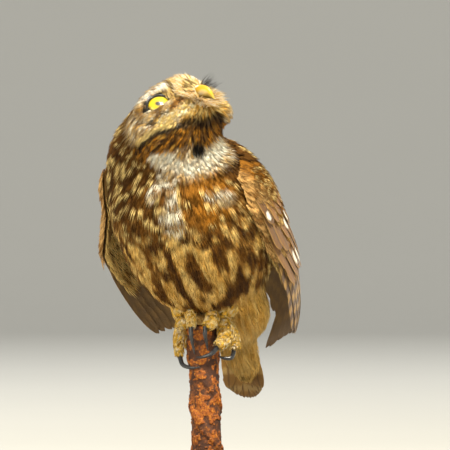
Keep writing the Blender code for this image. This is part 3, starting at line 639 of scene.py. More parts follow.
def reach(origins, directions, field, furthest=120.0, step=1.5):
    """Distance from each origin to the first place where its ray leaves the field's inside."""
    inner = np.zeros(origins.shape[:-1])
    going = field(origins) < 0.0
    far = np.where(going, step, 0.0)
    for _ in range(int(furthest / step)):
        inside = going & (field(origins + far[..., None] * directions) < 0.0)
        inner = np.where(inside, far, inner)
        far = np.where(inside, far + step, far)
        going = inside
        if not going.any():
            break
    for _ in range(10):
        middle = (inner + far) / 2.0
        inside = field(origins + middle[..., None] * directions) < 0.0
        inner, far = np.where(inside, middle, inner), np.where(inside, far, middle)
    return (inner + far) / 2.0


def skin_surface(around=200, fan_rows=92, side_rows=44, top_rows=110):
    """Rings of rays: a fan below the torso's centre, rings up the spine, a fan over the head's centre."""
    low = [(0.0, t) for t in np.linspace(-90.0, 0.0, fan_rows)]
    side = [(h, 0.0) for h in np.linspace(0.0, SPINE_LENGTH, side_rows)[1:-1]]
    top = [(SPINE_LENGTH, t) for t in np.linspace(0.0, 90.0, top_rows)]
    stations = np.array(low + side + top)
    turn = np.linspace(0, 2 * np.pi, around + 1)[None, :, None]
    flat = np.cos(turn) * SPINE_FRONT + np.sin(turn) * SPINE_SIDE
    tilt = np.radians(stations[:, 1])[:, None, None]
    direction = np.cos(tilt) * flat + np.sin(tilt) * SPINE_UP
    origin = TORSO_CENTRE + stations[:, 0][:, None, None] * SPINE_UP + 0.0 * direction
    distance = np.concatenate([reach(o, d, skin_field) for o, d in zip(
        np.array_split(origin, 12), np.array_split(direction, 12))])
    points = origin + distance[..., None] * direction
    points[0], points[-1], points[:, -1] = points[0].mean(0), points[-1].mean(0), points[:, 0]
    across, down = np.meshgrid(np.linspace(0.01, 0.99, around + 1), np.linspace(0.01, 0.99, len(stations)))
    return points, np.stack([across, down], -1)


def build_skin(finish):
    points, unwrap = skin_surface()
    rows, columns = points.shape[:2]
    faces = halved(grid_faces(rows, columns))
    shared = np.arange(rows * columns).reshape(rows, columns)
    shared[:, -1] = shared[:, 0]
    shared[0], shared[-1] = shared[0, 0], shared[-1, 0]
    welded = shared.ravel()[faces]
    sound = (welded[:, 0] != welded[:, 1]) & (welded[:, 1] != welded[:, 2]) & (welded[:, 0] != welded[:, 2])
    faces, welded = faces[sound], welded[sound]
    used, compact = np.unique(welded, return_inverse=True)
    welded = compact.reshape(welded.shape)
    flat = points.reshape(-1, 3)
    shell = flat[used]
    ways = facing_out(shell, welded)
    if ways is not welded:
        faces = faces[:, ::-1]
    still = np.full((len(shell), 3), 0.5)
    nowhere = np.full(len(shell), 0.6)
    # Skin seen between the tufts: the coat's colours darkened to 0.7 as painted shade under the feathers.
    colours = markings(shell, nowhere, nowhere, still) * 0.7
    made = add_mesh("skin", shell, ways, finish, colours=colours,
                    uv={"OFBake": unwrap.reshape(-1, 2)[faces.ravel()]})
    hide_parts("torso", "neck", "head")
    return flat, unwrap.reshape(-1, 2), faces


def scattered(skin, count, rng, chosen):
    """Points spread over the skin by area where chosen(points) is true: place and unwrap of each."""
    points, unwrap, faces = skin
    a, b, c = (points[faces[:, k]] for k in range(3))
    area = np.linalg.norm(np.cross(b - a, c - a), axis=1)
    pick = rng.choice(len(faces), count, p=area / area.sum())
    r1, r2 = np.sqrt(rng.random(count)), rng.random(count)
    weights = np.stack([1 - r1, r1 * (1 - r2), r1 * r2], -1)[..., None]
    place = (np.stack([a, b, c], 1)[pick] * weights).sum(1)
    where = (unwrap[faces[pick]] * weights).sum(1)
    keep = chosen(place)
    return place[keep], where[keep]


def thinned(place, where, spacing):
    """One point to each cell of a lattice, then none nearer another than most of the spacing."""
    cells = np.floor(place / spacing).astype(np.int64)
    _, first = np.unique(cells, axis=0, return_index=True)
    place, where = place[first], where[first]
    keep = np.ones(len(place), bool)
    for start in range(0, len(place), 500):
        block = place[start:start + 500]
        gap = np.linalg.norm(block[:, None] - place[None], axis=-1)
        earlier = np.arange(len(place))[None] < np.arange(start, start + len(block))[:, None]
        keep[start:start + 500] = ~((gap < spacing * 0.62) & earlier & keep[None]).any(1)
    return place[keep], where[keep]


# Tufts: each is a fan of thin tapered barbs along a line that lies on the coat


def coat_flow(points):
    """Way the feathers lie: away from the bill over the head and round the eyes, then towards the tail."""
    from_bill = points - BILL_ROOT
    far = smoothstep(24.0, 70.0, np.linalg.norm(from_bill, axis=-1))[..., None]
    way = unit(from_bill) * (1.0 - far) - ALONG * far
    for side in (1, -1):
        axis, gap = eye_frame(side)[0], points - EYES[side]
        near = np.exp(-np.square(np.linalg.norm(gap, axis=-1) / 11.0))[..., None]
        away = unit(gap - (gap @ axis)[..., None] * axis)
        inward = np.minimum((way * away).sum(-1, keepdims=True), 0.0)
        way = way - near * (1.15 * inward - 0.3) * away
    return way


def lie_lines(roots, length, low, high, sway, steps=5, flow=coat_flow, field=whole_plumage):
    """Middle lines of tufts, walked along the flow and settled on levels that rise from low to high.

    Returns points (n, steps, 3) and the frame along, across and out of each."""
    places, ways = [settle(roots, low, field)], []
    stride = (length / (steps - 1))[:, None]
    for k in range(steps):
        here = places[-1]
        out, _ = slope(here, field)
        way = flow(here)
        way = unit(way - (way * out).sum(-1, keepdims=True) * out)
        side = np.cross(out, way)
        way = unit(way + np.tan(np.radians(sway))[:, None] * side)
        ways.append((way, out))
        if k < steps - 1:
            level = low + (high - low) * ((k + 1) / (steps - 1)) ** 0.8
            places.append(settle(here + stride * way, level, field, 1))
    line = np.stack(places, 1)
    heading = unit(np.gradient(line, axis=1))
    out = np.stack([o for _, o in ways], 1)
    out = unit(out - (out * heading).sum(-1, keepdims=True) * heading)
    return line, heading, np.cross(out, heading), out


def fan_plan(barbs, spread, reach_back, centre=0.55):
    """Starts and ends of a feather's barbs as (u, v): ends on an oval, starts behind and nearer the shaft."""
    turn = np.radians(np.linspace(-spread, spread, barbs))
    tip = np.stack([centre + (1.0 - centre) * np.cos(turn), np.sin(turn)], -1)
    root = np.stack([np.clip(tip[:, 0] - reach_back, 0.0, 0.8), 0.55 * tip[:, 1]], -1)
    return root, tip


def brush_plan(barbs, spread=1.0):
    """Starts and ends of the strands of a loose tuft, close at the root and a little apart at the tip."""
    across = np.linspace(-1.0, 1.0, barbs)
    tip = np.stack([1.0 - 0.22 * np.abs(across) ** 1.5, across * spread], -1)
    root = np.stack([0.0 * across, across * 0.35], -1)
    return root, tip


# One barb: sizes of its two rings, its corners across and out, and its triangles
SPIKE_BROAD = np.array([0.55, 1.0])
SPIKE_ACROSS, SPIKE_HIGH = np.array([-1.0, 1.0, 0.0]), np.array([-0.25, -0.25, 0.55])
SPIKE_FACES = np.array([[0, 2, 1], [0, 1, 4], [0, 4, 3], [1, 2, 5], [1, 5, 4], [2, 0, 3], [2, 3, 5],
                        [3, 4, 6], [4, 5, 6], [5, 3, 6]])


def grown_tufts(lines, plan, length, width, strand, dice, rng, ragged=0.06, camber=0.22):
    """Barbs of every tuft as closed three-sided spikes of three stations (base, middle, tip).

    A point at (u, v, h) goes to line(u) + v across + h out, less camber v^2; returns points, faces, u and v.
    """
    line, _, side, out = lines
    count, steps = line.shape[:2]
    start, end = plan
    barbs = len(start)
    shape = (count, barbs)
    tip_u = end[:, 0] + ragged * rng.standard_normal(shape)
    tip_v = end[:, 1] + 1.5 * ragged * rng.standard_normal(shape)
    low_u = np.clip(start[:, 0] + 0.5 * ragged * rng.standard_normal(shape), 0, 1)
    low_v = np.broadcast_to(start[:, 1], shape)
    lift = 0.07 * width[:, None] * rng.standard_normal(shape)
    run_u, run_v = (tip_u - low_u) * length[:, None], (tip_v - low_v) * width[:, None]
    size = np.maximum(np.hypot(run_u, run_v), 1e-6)
    half = (strand[:, None] * (0.85 + 0.3 * rng.random(shape)))[..., None, None] * SPIKE_BROAD[:, None]
    wide = half * SPIKE_ACROSS

    def spike(low, middle, tip, offset):
        """Corners of each barb: three round its base, three round its middle, and its tip."""
        ring = np.stack([low, middle], -1)[..., None] + offset
        return np.concatenate([ring.reshape(count, barbs, 6), tip[..., None]], -1).reshape(count, -1)

    u = spike(low_u, 0.5 * (low_u + tip_u) - 0.03, tip_u,
              wide * (-run_v / size)[..., None, None] / length[:, None, None, None])
    v = spike(low_v, 0.62 * tip_v + 0.38 * low_v, tip_v,
              wide * (run_u / size)[..., None, None] / width[:, None, None, None])
    high = spike(0 * lift, 0.5 * lift, lift, half * SPIKE_HIGH)
    high = high - camber * width[:, None] * np.minimum(v * v, 2.0)
    at = np.clip(u, -0.2, 1.3) * (steps - 1)
    span = np.clip(np.floor(at).astype(int), 0, steps - 2)
    t = (at - span)[..., None]
    row = np.arange(count)[:, None]

    def along_line(values):
        return values[row, span] * (1 - t) + values[row, span + 1] * t

    points = along_line(line) + (v * width[:, None])[..., None] * unit(along_line(side))
    points = points + high[..., None] * unit(along_line(out))
    per = barbs * 7
    faces = SPIKE_FACES[None] + 7 * np.arange(count * barbs)[:, None, None]
    chance = np.repeat(dice, per, axis=0)
    return points.reshape(-1, 3), faces.reshape(-1, 3), u.ravel(), v.ravel(), chance, per


BAKE_PATCH = 0.003


def add_tufts(name, finish, roots, unwrap, plan, length, width, strand, levels, rng, sway=8.0,
              ragged=0.06, camber=0.22, painter=markings, flow=coat_flow, field=whole_plumage):
    """One coat piece of tufts on the given roots, with its markings and its baking map.

    Feathers that may bear a pale drop, with a low second chance number, end a little higher than the rest."""
    count = len(roots)
    length = length * (0.85 + 0.3 * rng.random(count))
    width = width * (0.85 + 0.3 * rng.random(count))
    low, high = levels
    dice = rng.random((count, 3))
    high = high + 0.18 * rng.standard_normal(count) + 0.3 * (dice[:, 1] < 0.5)
    lines = lie_lines(roots, length, low, high, sway * rng.standard_normal(count), flow=flow, field=field)
    points, faces, u, v, chance, per = grown_tufts(
        lines, plan, length, width, np.full(count, strand), dice, rng, ragged, camber)
    faces = facing_out(points, faces)
    colours = painter(points, u, v, chance)
    patch = np.repeat(unwrap, per, axis=0) + BAKE_PATCH * np.stack(
        [np.clip(v, -1, 1) * 0.5, np.clip(u, 0, 1) - 0.5], -1)
    return add_mesh(name, points, faces, finish, uv={"OFBake": patch}, colours=colours)


# Wings: everything on them is placed by distance along the body, angle round it and height over a shell

WING_BACK = -96.0
BODY_WIDEST = 46.0
SHELL_RADIUS = 43.5
SHELL_POWER = {1: 2.5, -1: 2.05}
SHOULDER_DRAW, SHOULDER_LENGTH = {1: 0.055, -1: 0.0}, 35.0
WING_SPREAD = {1: 1.0, -1: 1.19}
WING_LOOSE = {1: 0.7, -1: 2.4}
TABLE_ALONG, TABLE_ANGLE = np.arange(-125.0, 60.0, 2.5), np.arange(-80.0, 130.0, 3.0)


class WingShell:
    """The surface a wing's feathers lie on: a superellipse about the body's line, outside the plumage."""

    def __init__(self, side):
        self.side = side
        along, angle = np.meshgrid(TABLE_ALONG, TABLE_ANGLE, indexing="ij")
        body = np.minimum(reach(*self.rays(along, angle), plumage, 95.0), BODY_WIDEST)
        share = np.clip(np.abs(np.minimum(along, 0.0)) / -WING_BACK, 0.0, 0.995)
        draw = 1.0 - SHOULDER_DRAW[side] * np.clip(along / SHOULDER_LENGTH + 1.0, 0.0, 1.0)
        power = SHELL_POWER[side]
        shell = SHELL_RADIUS * WING_SPREAD[side] * draw * (1.0 - share**power) ** (1.0 / power)
        shoulder = np.clip((along + 10.0) / 25.0, 0.0, 1.0)
        shell = shell * (1.0 - shoulder) + (body + WING_LOOSE[side]) * shoulder
        self.body = body
        self.table = np.maximum(shell, body + WING_LOOSE[side])

    def rays(self, along, angle):
        t = np.radians(angle)[..., None]
        direction = np.cos(t) * self.side * LEFT - np.sin(t) * BELLY
        return TORSO_CENTRE + along[..., None] * ALONG, direction

    def look_up(self, table, along, angle):
        """Value of a table between its rows and columns, by straight shares."""
        x = np.clip((along - TABLE_ALONG[0]) / 2.5, 0, len(TABLE_ALONG) - 1.001)
        y = np.clip((angle - TABLE_ANGLE[0]) / 3.0, 0, len(TABLE_ANGLE) - 1.001)
        i, j = x.astype(int), y.astype(int)
        s, t = x - i, y - j
        low = table[i, j] * (1 - t) + table[i, j + 1] * t
        high = table[i + 1, j] * (1 - t) + table[i + 1, j + 1] * t
        return low * (1 - s) + high * s

    def radius(self, along, angle):
        return self.look_up(self.table, along, angle)

    def place(self, along, angle, height):
        along, angle, height = np.broadcast_arrays(along, angle, height)
        body = self.look_up(self.body, along, angle)
        radius = np.maximum(self.radius(along, angle) + height, np.where(body > 1.0, body + 0.3, 1.0))
        origin, direction = self.rays(along, angle)
        return origin + radius[..., None] * direction

    def local(self, points):
        body = (points - TORSO_CENTRE) @ BODY.T
        angle = np.degrees(np.arctan2(-body[..., 2], self.side * body[..., 1]))
        return body[..., 0], angle, np.hypot(body[..., 1], body[..., 2])

    def field(self, points):
        along, angle, radius = self.local(points)
        return radius - self.radius(along, angle)

    def lie(self, points):
        """Way the wing's small feathers lie: towards the tail and a little round towards the back."""
        t = np.radians(self.local(points)[1])[..., None]
        around = -np.sin(t) * self.side * LEFT - np.cos(t) * BELLY
        return unit(-ALONG + 0.18 * around)


def vane_profile(s, blunt=0.72):
    """Half width of a feather along its length: narrow at the root, full from a third on, round tip."""
    opening = 0.42 + 0.58 * smoothstep(0.0, 0.3, s)
    return opening * np.sqrt(np.maximum(1.0 - np.clip((s - blunt) / (1.0 - blunt), 0, 1) ** 2.3, 0.004))


def noise_of(seed, *coordinates):
    """Lattice noise of three arrays of coordinates that broadcast together."""
    return lattice_noise(np.stack(np.broadcast_arrays(*coordinates), -1), seed)


def vane_plates(grid_at, count, length, half, rng, rows=44, columns=13, thick=0.34, ragged=0.07):
    """Feathers as closed curved plates: grid_at(s, x, height) places them, s along from 0 to 1 and x across.

    Height is the shaft's ridge and thickness, and the margin is nicked by noise where the barbs part."""
    s = np.linspace(0.0, 1.0, rows)[None, :, None]
    x = np.sin(np.linspace(-1, 1, columns) * np.pi / 2)[None, None, :]
    edge = np.abs(x) ** 6
    seed = rng.random((count, 1, 1)) * 60
    run = s * length[:, None, None]
    nick = noise_of(3, seed + run / 1.3, np.sign(x) * 3.0 + seed, seed)
    cut = noise_of(4, seed * 2 + run / 7.0, np.sign(x) * 5.0 + seed, seed)
    margin = 1.0 - edge * (ragged * nick + 2.4 * ragged * smoothstep(0.7, 0.78, cut))
    width = vane_profile(s) * half[:, None, None]
    across = x * margin * width
    ridge = 0.30 * np.exp(-np.square(across / 0.45)) * (1.0 - 0.7 * s)
    body = thick * (1.0 - 0.75 * x * x) * (1.0 - 0.6 * s) + 0.05
    waves = 0.10 * (noise_of(6, seed + (run - 0.9 * np.abs(across)) / 0.9, np.sign(x), seed) - 0.5)
    top = grid_at(s, across, 0.5 * body + ridge + waves)
    low = grid_at(s, across, -0.5 * body + waves)
    per = rows * columns
    faces = (plate_faces(rows, columns)[None] + 2 * per * np.arange(count)[:, None, None]).reshape(-1, 3)
    points = np.stack([top, low], 1).reshape(-1, 3)
    whole = [np.broadcast_to(w, top.shape[:3]) for w in (s, x, across)]
    pair = [np.stack([w, w], 1).reshape(-1) for w in whole]
    return points, facing_out(points, faces), pair, 2 * per


def atlas(count, per, s, x, start=0, cells=100):
    """Baking map of big feathers: each has its own cell of a square of cells, root to tip up the cell."""
    side = math.ceil(math.sqrt(cells))
    index = start + np.repeat(np.arange(count), per)
    low = np.tile(np.repeat([0.0, 1.0], per // 2), count)
    u = (index % side + 0.04 + 0.44 * (0.5 + 0.5 * x) + 0.48 * low) / side
    v = (index // side + 0.04 + 0.92 * s) / side
    return np.stack([u, v], -1)


# Each tier of wing feathers: name, count, root (along, angle) of its first and last, tips likewise, half
# width, rise over the shell at root and tip
WING_TIERS = (
    ("primary", 10, (-10.0, -10.0), (-26.0, 34.0), (-66.0, -7.0), (-93.0, 58.0), 4.1, (0.0, 0.3)),
    ("secondary", 9, (-16.0, 34.0), (-4.0, 74.0), (-86.0, 52.0), (-66.0, 82.0), 4.2, (0.3, 1.1)),
    ("tertial", 3, (0.0, 66.0), (2.0, 80.0), (-60.0, 76.0), (-46.0, 90.0), 5.2, (0.9, 2.0)),
    ("greater_covert", 12, (2.0, -10.0), (4.0, 70.0), (-36.0, -2.0), (-30.0, 76.0), 4.4, (0.5, 1.9)),
    ("median_covert", 11, (16.0, -6.0), (14.0, 60.0), (-12.0, -6.0), (-10.0, 68.0), 4.4, (0.6, 2.4)),
    ("lesser_covert", 9, (26.0, -2.0), (23.0, 48.0), (4.0, -6.0), (3.0, 56.0), 4.2, (0.6, 2.6)),
)
VANE_TILT = -0.75
WING_BAR_STEP, TAIL_BAR_STEP = 9.0, 11.0
UNDER_WING, WING_RIM = (0.58, 0.48, 0.33), (0.89, 0.72, 0.46)
WING_TUFTS = {"sway": 5.0, "ragged": 0.05, "camber": 0.12}


def wing_markings(kind, s, x, length, dice):
    """Colour of a wing or tail feather, with paler margins and a darker shaft.

    Flight feathers are brown with pale notches at equal steps, deeper on the inner web. The tail is paler
    with faint bands. Coverts are brown, some with a white oval near the tip."""
    tone = dice[:, 0]
    base = paint(BROWN) * (0.7 + 0.3 * tone)[:, None]
    base = layered(base, (RUFOUS, 0.35 * dice[:, 1]), (TAN, 0.4 * smoothstep(0.75, 1.0, np.abs(x))))
    if kind in ("primary", "secondary", "tertial"):
        phase = (s * length - 1.5 * np.abs(x) + 3.0 * tone) / WING_BAR_STEP
        gap = np.abs(phase - np.floor(phase) - 0.5) * 2.0
        deep = np.where(x > 0, smoothstep(-0.1, 0.25, x), smoothstep(0.25, 0.6, -x))
        notch = smoothstep(0.52, 0.36, gap) * deep * smoothstep(0.98, 0.9, s)
        base = layered(base, (DARK, 0.45 + 0.3 * smoothstep(0.2, 0.9, gap)), (TAN, 0.5 * notch),
                       (EARTH, 0.4 * smoothstep(0.9, 1.0, s)))
    elif kind == "tail":
        phase = (s * length - 1.0 * np.abs(x) + 2.0) / TAIL_BAR_STEP
        gap = np.abs(phase - np.floor(phase) - 0.5) * 2.0
        notch = smoothstep(0.42, 0.26, gap) * smoothstep(0.05, 0.3, np.abs(x))
        base = layered(base, (TAN, 0.35), (CREAM, 0.4 * notch), (DARK, 0.45 * smoothstep(0.78, 0.9, s)))
    else:
        oval = np.square((s - 0.76) / 0.12) + np.square((np.abs(x) - 0.40) / 0.36)
        seen = (dice[:, 2] < 0.40) & (x > 0)
        base = layered(base, (DARK, 0.55 * smoothstep(2.8, 1.2, oval) * seen),
                       (WHITE, smoothstep(1.3, 0.5, oval) * seen))
    base = blended(base, DARK, 0.6 * smoothstep(0.09, 0.03, np.abs(x)))
    # Darker over the first third of each feather: painted shade under the feathers that overlap it.
    return base * (0.8 + 0.2 * smoothstep(0.0, 0.3, s))[:, None]


def build_wing(name, side, vane_finish, coat_finish, rng):
    shell = WingShell(side)
    parts, colours, maps, marks, start = [], [], [], [], 0
    total = sum(tier[1] for tier in WING_TIERS)
    for kind, count, root_a, root_b, tip_a, tip_b, half, rise in WING_TIERS:
        share = np.linspace(0.0, 1.0, count)[:, None]
        root, tip = (np.array(a) + (np.array(b) - np.array(a)) * share
                     for a, b in ((root_a, root_b), (tip_a, tip_b)))
        tip[:, 0] -= 2.5 * np.sin(np.pi * share[:, 0])
        tip = tip + rng.normal(0.0, 1.0, tip.shape) * (1.3, 0.8)
        lift = rng.normal(0.0, 0.12, (count, 1, 1))
        length = np.hypot(tip[:, 0] - root[:, 0], np.radians(tip[:, 1] - root[:, 1]) * 42.0)
        widths = half * (0.93 + 0.14 * rng.random(count))

        def grid_at(s, across, height, root=root, tip=tip, rise=rise, widths=widths, lift=lift):
            run = (tip - root)[:, None, None, :]
            at = root[:, None, None, :] + run * s[..., None]
            along, angle = (np.broadcast_to(at[..., k], across.shape) for k in (0, 1))
            radius = np.maximum(shell.radius(along, angle), 8.0)
            lean = np.radians(run[..., 1]) * radius
            size = np.hypot(run[..., 0], lean)
            off_along, off_arc = -lean / size * across, run[..., 0] / size * across
            share_x = across / widths[:, None, None]
            up = rise[0] + (rise[1] - rise[0]) * s + lift * s - VANE_TILT * share_x - 0.35 * share_x * share_x
            return shell.place(along + off_along, angle + np.degrees(off_arc / radius), up + height)

        points, faces, (s, x, across), per = vane_plates(grid_at, count, length, widths, rng)
        parts.append((points, faces))
        dice = np.repeat(rng.random((count, 3)), per, axis=0)
        long = np.repeat(length, per)
        below = np.tile(np.repeat([0.0, 1.0], per // 2), count)
        colours.append(blended(wing_markings(kind, s, x, long, dice), UNDER_WING, 0.7 * below))
        maps.append(atlas(count, per, s, x, start, total))
        marks.append(np.stack([s * long, across], -1))
        start += count
    points, faces = joined_meshes(parts)
    made = add_mesh(name, points, faces, vane_finish, colours=np.concatenate(colours),
                    uv={"OFBake": np.concatenate(maps), "vane": np.concatenate(marks)})
    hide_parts(name.replace("vanes_", "wing_"))
    build_wing_core(name.replace("vanes_", "wing_arm_"), shell, coat_finish)
    build_wing_coat(name.replace("vanes_", "wing_coat_"), shell, coat_finish, rng)
    build_wing_lining(name.replace("vanes_", "wing_lining_"), shell, coat_finish, rng)
    build_scapulars(name.replace("vanes_", "scapulars_"), shell, coat_finish, rng)


def core_edges(share):
    """First and last angle of the folded arm at each share of its length, shoulder to wrist."""
    first = np.interp(share, [0, 0.15, 0.4, 0.75, 1.0], [-2.0, -12.0, -13.0, -10.0, -4.0])
    last = np.interp(share, [0, 0.15, 0.4, 0.75, 1.0], [18.0, 48.0, 70.0, 76.0, 62.0])
    return first, last


def arm_places(share, part):
    """Places on the folded arm, as (along, angle), from shares of its length and of its breadth."""
    first, last = core_edges(np.clip(share, 0, 1))
    return ARM_FRONT + (ARM_BACK - ARM_FRONT) * share, first + (last - first) * part


def staggered(rows, columns, shift):
    """Two coordinates of places in rows, every other row shifted along itself."""
    down, across = np.meshgrid(rows, columns, indexing="ij")
    return down.ravel(), (across + shift * (np.arange(len(rows))[:, None] % 2)).ravel()


def arm_unwrap(share, part):
    return np.stack([0.05 + 0.85 * np.clip(part, 0, 1), 0.05 + 0.9 * np.clip(share, 0, 1)], -1)


ARM_FRONT, ARM_BACK = 31.5, -36.0


def arm_height(share, across):
    """Thickness of the folded arm: full over its middle, thin at its rims."""
    thick = 0.9 + 1.0 * (1 - share) * np.sin(np.pi * np.clip(across + 0.12, 0, 1))
    ends = np.clip(np.minimum(share, 1 - share) * 8.0 + 0.2, 0.0, 1.0)
    rims = np.clip(np.minimum(across, 1 - across) * 8.0 + 0.2, 0.0, 1.0)
    return thick * ends * rims


def build_wing_core(name, shell, finish, rows=44, columns=36):
    share = np.linspace(0.0, 1.0, rows)[:, None]
    across = np.linspace(0.0, 1.0, columns)[None, :]
    along, angle = np.broadcast_arrays(*arm_places(share, across))
    outer = shell.place(along, angle, arm_height(share, across) - 0.3)
    inner = shell.place(along, angle, -3.0 * np.clip((along + 10.0) / 20.0, 0.0, 1.0) - 1.4)
    faces = plate_faces(rows, columns)
    points = np.concatenate([outer.reshape(-1, 3), inner.reshape(-1, 3)])
    # A dark, half-strength earth brown: painted shade for the arm where it shows between its feathers.
    colours = np.tile(paint(EARTH) * 0.5, (len(points), 1))
    unwrap = np.stack(np.broadcast_arrays(0.02 + 0.46 * across, 0.02 + 0.96 * share), -1).reshape(-1, 2)
    both = np.concatenate([unwrap, unwrap + (0.5, 0.0)])
    add_mesh(name, points, facing_out(points, faces), finish, colours=colours,
             uv={"OFBake": both})


def build_wing_coat(name, shell, finish, rng, across=30, down=26):
    """Small feathers over the shoulder and the front rim of the wing, set in staggered rows."""
    share, part = staggered(np.linspace(-0.02, 0.62, down), np.linspace(-0.03, 1.0, across), 0.5 / across)
    share = share + rng.normal(0, 0.006, share.shape)
    part = part + rng.normal(0, 0.012, part.shape)
    wanted = (share < 0.4) | (part < 0.2 + 0.1 * share)
    share, part = share[wanted], part[wanted]
    height = arm_height(np.clip(share, 0, 1), np.clip(part, 0, 1))
    roots = shell.place(*arm_places(share, part), height - 0.5)

    def arm_field(points):
        """Height over the arm's outer face."""
        here, angle, radius = shell.local(points)
        run = np.clip((here - ARM_FRONT) / (ARM_BACK - ARM_FRONT), 0.0, 1.0)
        edge, far_edge = core_edges(run)
        over = np.clip((angle - edge) / (far_edge - edge), 0.0, 1.0)
        return radius - shell.radius(here, angle) - arm_height(run, over)

    def painter(points, u, v, dice):
        tone = dice[:, 0]
        drop = spot(u, v, (0.6, 0.35), (0.42, 0.58), (1.05, 0.88))
        pale = smoothstep(10.0, -2.0, shell.local(points)[1])
        colour = layered(
            paint(BROWN) + 0.0 * points,
            (RUFOUS, 0.6 * (tone > 0.4)),
            (DARK, 0.4 * (tone < 0.2)),
            (CREAM, drop * (dice[:, 1] < 0.22)),
            (WING_RIM, pale * 0.75),
            (BROWN, pale * (tone < 0.2) * 0.85))
        return shaded(colour, 0.8 + 0.3 * dice[:, 2])

    wrist = 1.9 * (shell.side < 0) * smoothstep(0.5, 0.2, part)
    levels = (-0.9 + 0.75 * wrist, np.where(part < 0.2, 0.7, 1.0) + wrist)
    add_tufts(name, finish, roots, arm_unwrap(share, part), fan_plan(17, 145, 0.55), 9.5, 2.4, 0.24, levels,
              rng, painter=painter, flow=shell.lie, field=arm_field, **WING_TUFTS)


def build_wing_lining(name, shell, finish, rng):
    """Feathers of the arm's inner face, buff with dark spots."""
    share, part = staggered(np.linspace(0.1, 1.0, 24), np.linspace(-0.02, 0.5, 9), 0.03)
    roots = shell.place(*arm_places(share, part), -1.4)

    def buff(points, u, v, dice):
        dark = smoothstep(0.8, 0.4, np.abs(v)) * smoothstep(0.5, 0.7, u) * (dice[:, 1] < 0.3)
        colour = layered(paint(CREAM) + 0.0 * points, (TAN, 0.45 * dice[:, 0]), (BROWN, dark))
        # Darker towards each feather's root: painted shade between the lining feathers.
        return shaded(colour, 0.85 + 0.25 * smoothstep(0.0, 0.5, u))

    add_tufts(name, finish, roots, arm_unwrap(share, part), fan_plan(17, 145, 0.6), 12.0, 2.8, 0.25,
              (0.9, 2.1), rng, painter=buff, flow=shell.lie, field=lambda p: -shell.field(p), **WING_TUFTS)


def mantle_markings(points, u, v, dice):
    """Feathers between the wings: brown with darker rims and, on half of them, a cream drop near the tip."""
    drop = spot(u, v, (0.6, 0.4), (0.55, 0.66), (0.98, 0.86))
    colour = layered(0.7 * paint(BROWN) + 0.0 * points, (DARK, 0.6 * smoothstep(0.5, 0.9, np.abs(v))),
                     (CREAM, drop * (dice[:, 1] < 0.5) * 0.9))
    return shaded(colour, 0.8 + 0.3 * dice[:, 2])


def build_scapulars(name, shell, finish, rng):
    """Broad feathers in staggered rows from the back's middle line over the roots of the wing's feathers."""
    along, angle = staggered(np.linspace(37.0, -3.0, 10), np.linspace(30.0, 92.0, 14), 2.4)
    along = along + rng.normal(0, 0.6, along.size)
    angle = angle + rng.normal(0, 0.8, angle.size)
    roots = shell.place(along, angle, -1.0)
    unwrap = np.stack([0.05 + 0.9 * (angle - 25.0) / 75.0, 0.95 - 0.9 * (along + 6.0) / 46.0], -1)
    add_tufts(name, finish, roots, unwrap, fan_plan(21, 150, 0.55), 15.0, 4.2, 0.34, (-1.6, 2.9), rng,
              sway=4.0, ragged=0.04, camber=0.12, painter=mantle_markings, flow=shell.lie, field=shell.field)


# Tail: feathers in a flat fan over the soft cone

TAIL_FEATHERS, TAIL_TIP, TAIL_ROOT = 12, -111.5, -46.0
TAIL_HALF_SPREAD, TAIL_HALF = 8.6, 4.4


def build_tail(finish, rng):
    count = TAIL_FEATHERS
    share = np.linspace(-1.0, 1.0, count)
    tip = TAIL_TIP + 7.0 * share * share
    length = TAIL_ROOT - tip
    widths = np.full(count, TAIL_HALF) * (0.95 + 0.1 * rng.random(count))
    depth = 1.0 + 1.3 * (1 - np.abs(share)) + 0.22 * np.abs(np.arange(count) % 2)

    def grid_at(s, across, height):
        along = TAIL_ROOT + (tip - TAIL_ROOT)[:, None, None] * s + 0 * across
        centre = 2.0 - 2.0 * s + share[:, None, None] * (2.0 + (TAIL_HALF_SPREAD - 2.0) * s)
        left = centre + across
        sink = 3.0 - 9.0 * s + depth[:, None, None] + 0.02 * across * across
        sink = sink - 0.35 * np.sign(share)[:, None, None] * across / widths[:, None, None]
        grid = TORSO_CENTRE + along[..., None] * ALONG + left[..., None] * LEFT
        return grid - (sink + height)[..., None] * BELLY

    points, faces, (s, x, across), per = vane_plates(grid_at, count, length, widths, rng)
    dice = np.repeat(rng.random((count, 3)), per, axis=0)
    long = np.repeat(length, per)
    maps = {"OFBake": atlas(count, per, s, x, 0, count), "vane": np.stack([s * long, across], -1)}
    made = add_mesh("tail_vanes", points, faces, finish, uv=maps,
                    colours=wing_markings("tail", s, x, long, dice))
    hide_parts("tail")


# Eyes and lids

CORNEA_RADIUS, CORNEA_RISE = 6.0, 2.9
EYEBALL_RADIUS, EYEBALL_DEPTH = 7.4, 4.2
# Edge of the opening between the lids as (outward, crown) across the gaze, from the inner corner over the top
LID_EDGE = ((-4.7, -3.0), (-3.9, -0.5), (-2.2, 1.5), (0.1, 2.8), (2.8, 3.0), (5.0, 2.1), (6.4, 0.6),
            (6.8, -0.8), (5.4, -2.0), (2.9, -2.8), (0.0, -3.2), (-2.7, -3.3))
LID_OUTER, LID_SKIRT = 9.6, 6.0
PUPIL_SHIFT = (1.6, -1.9)


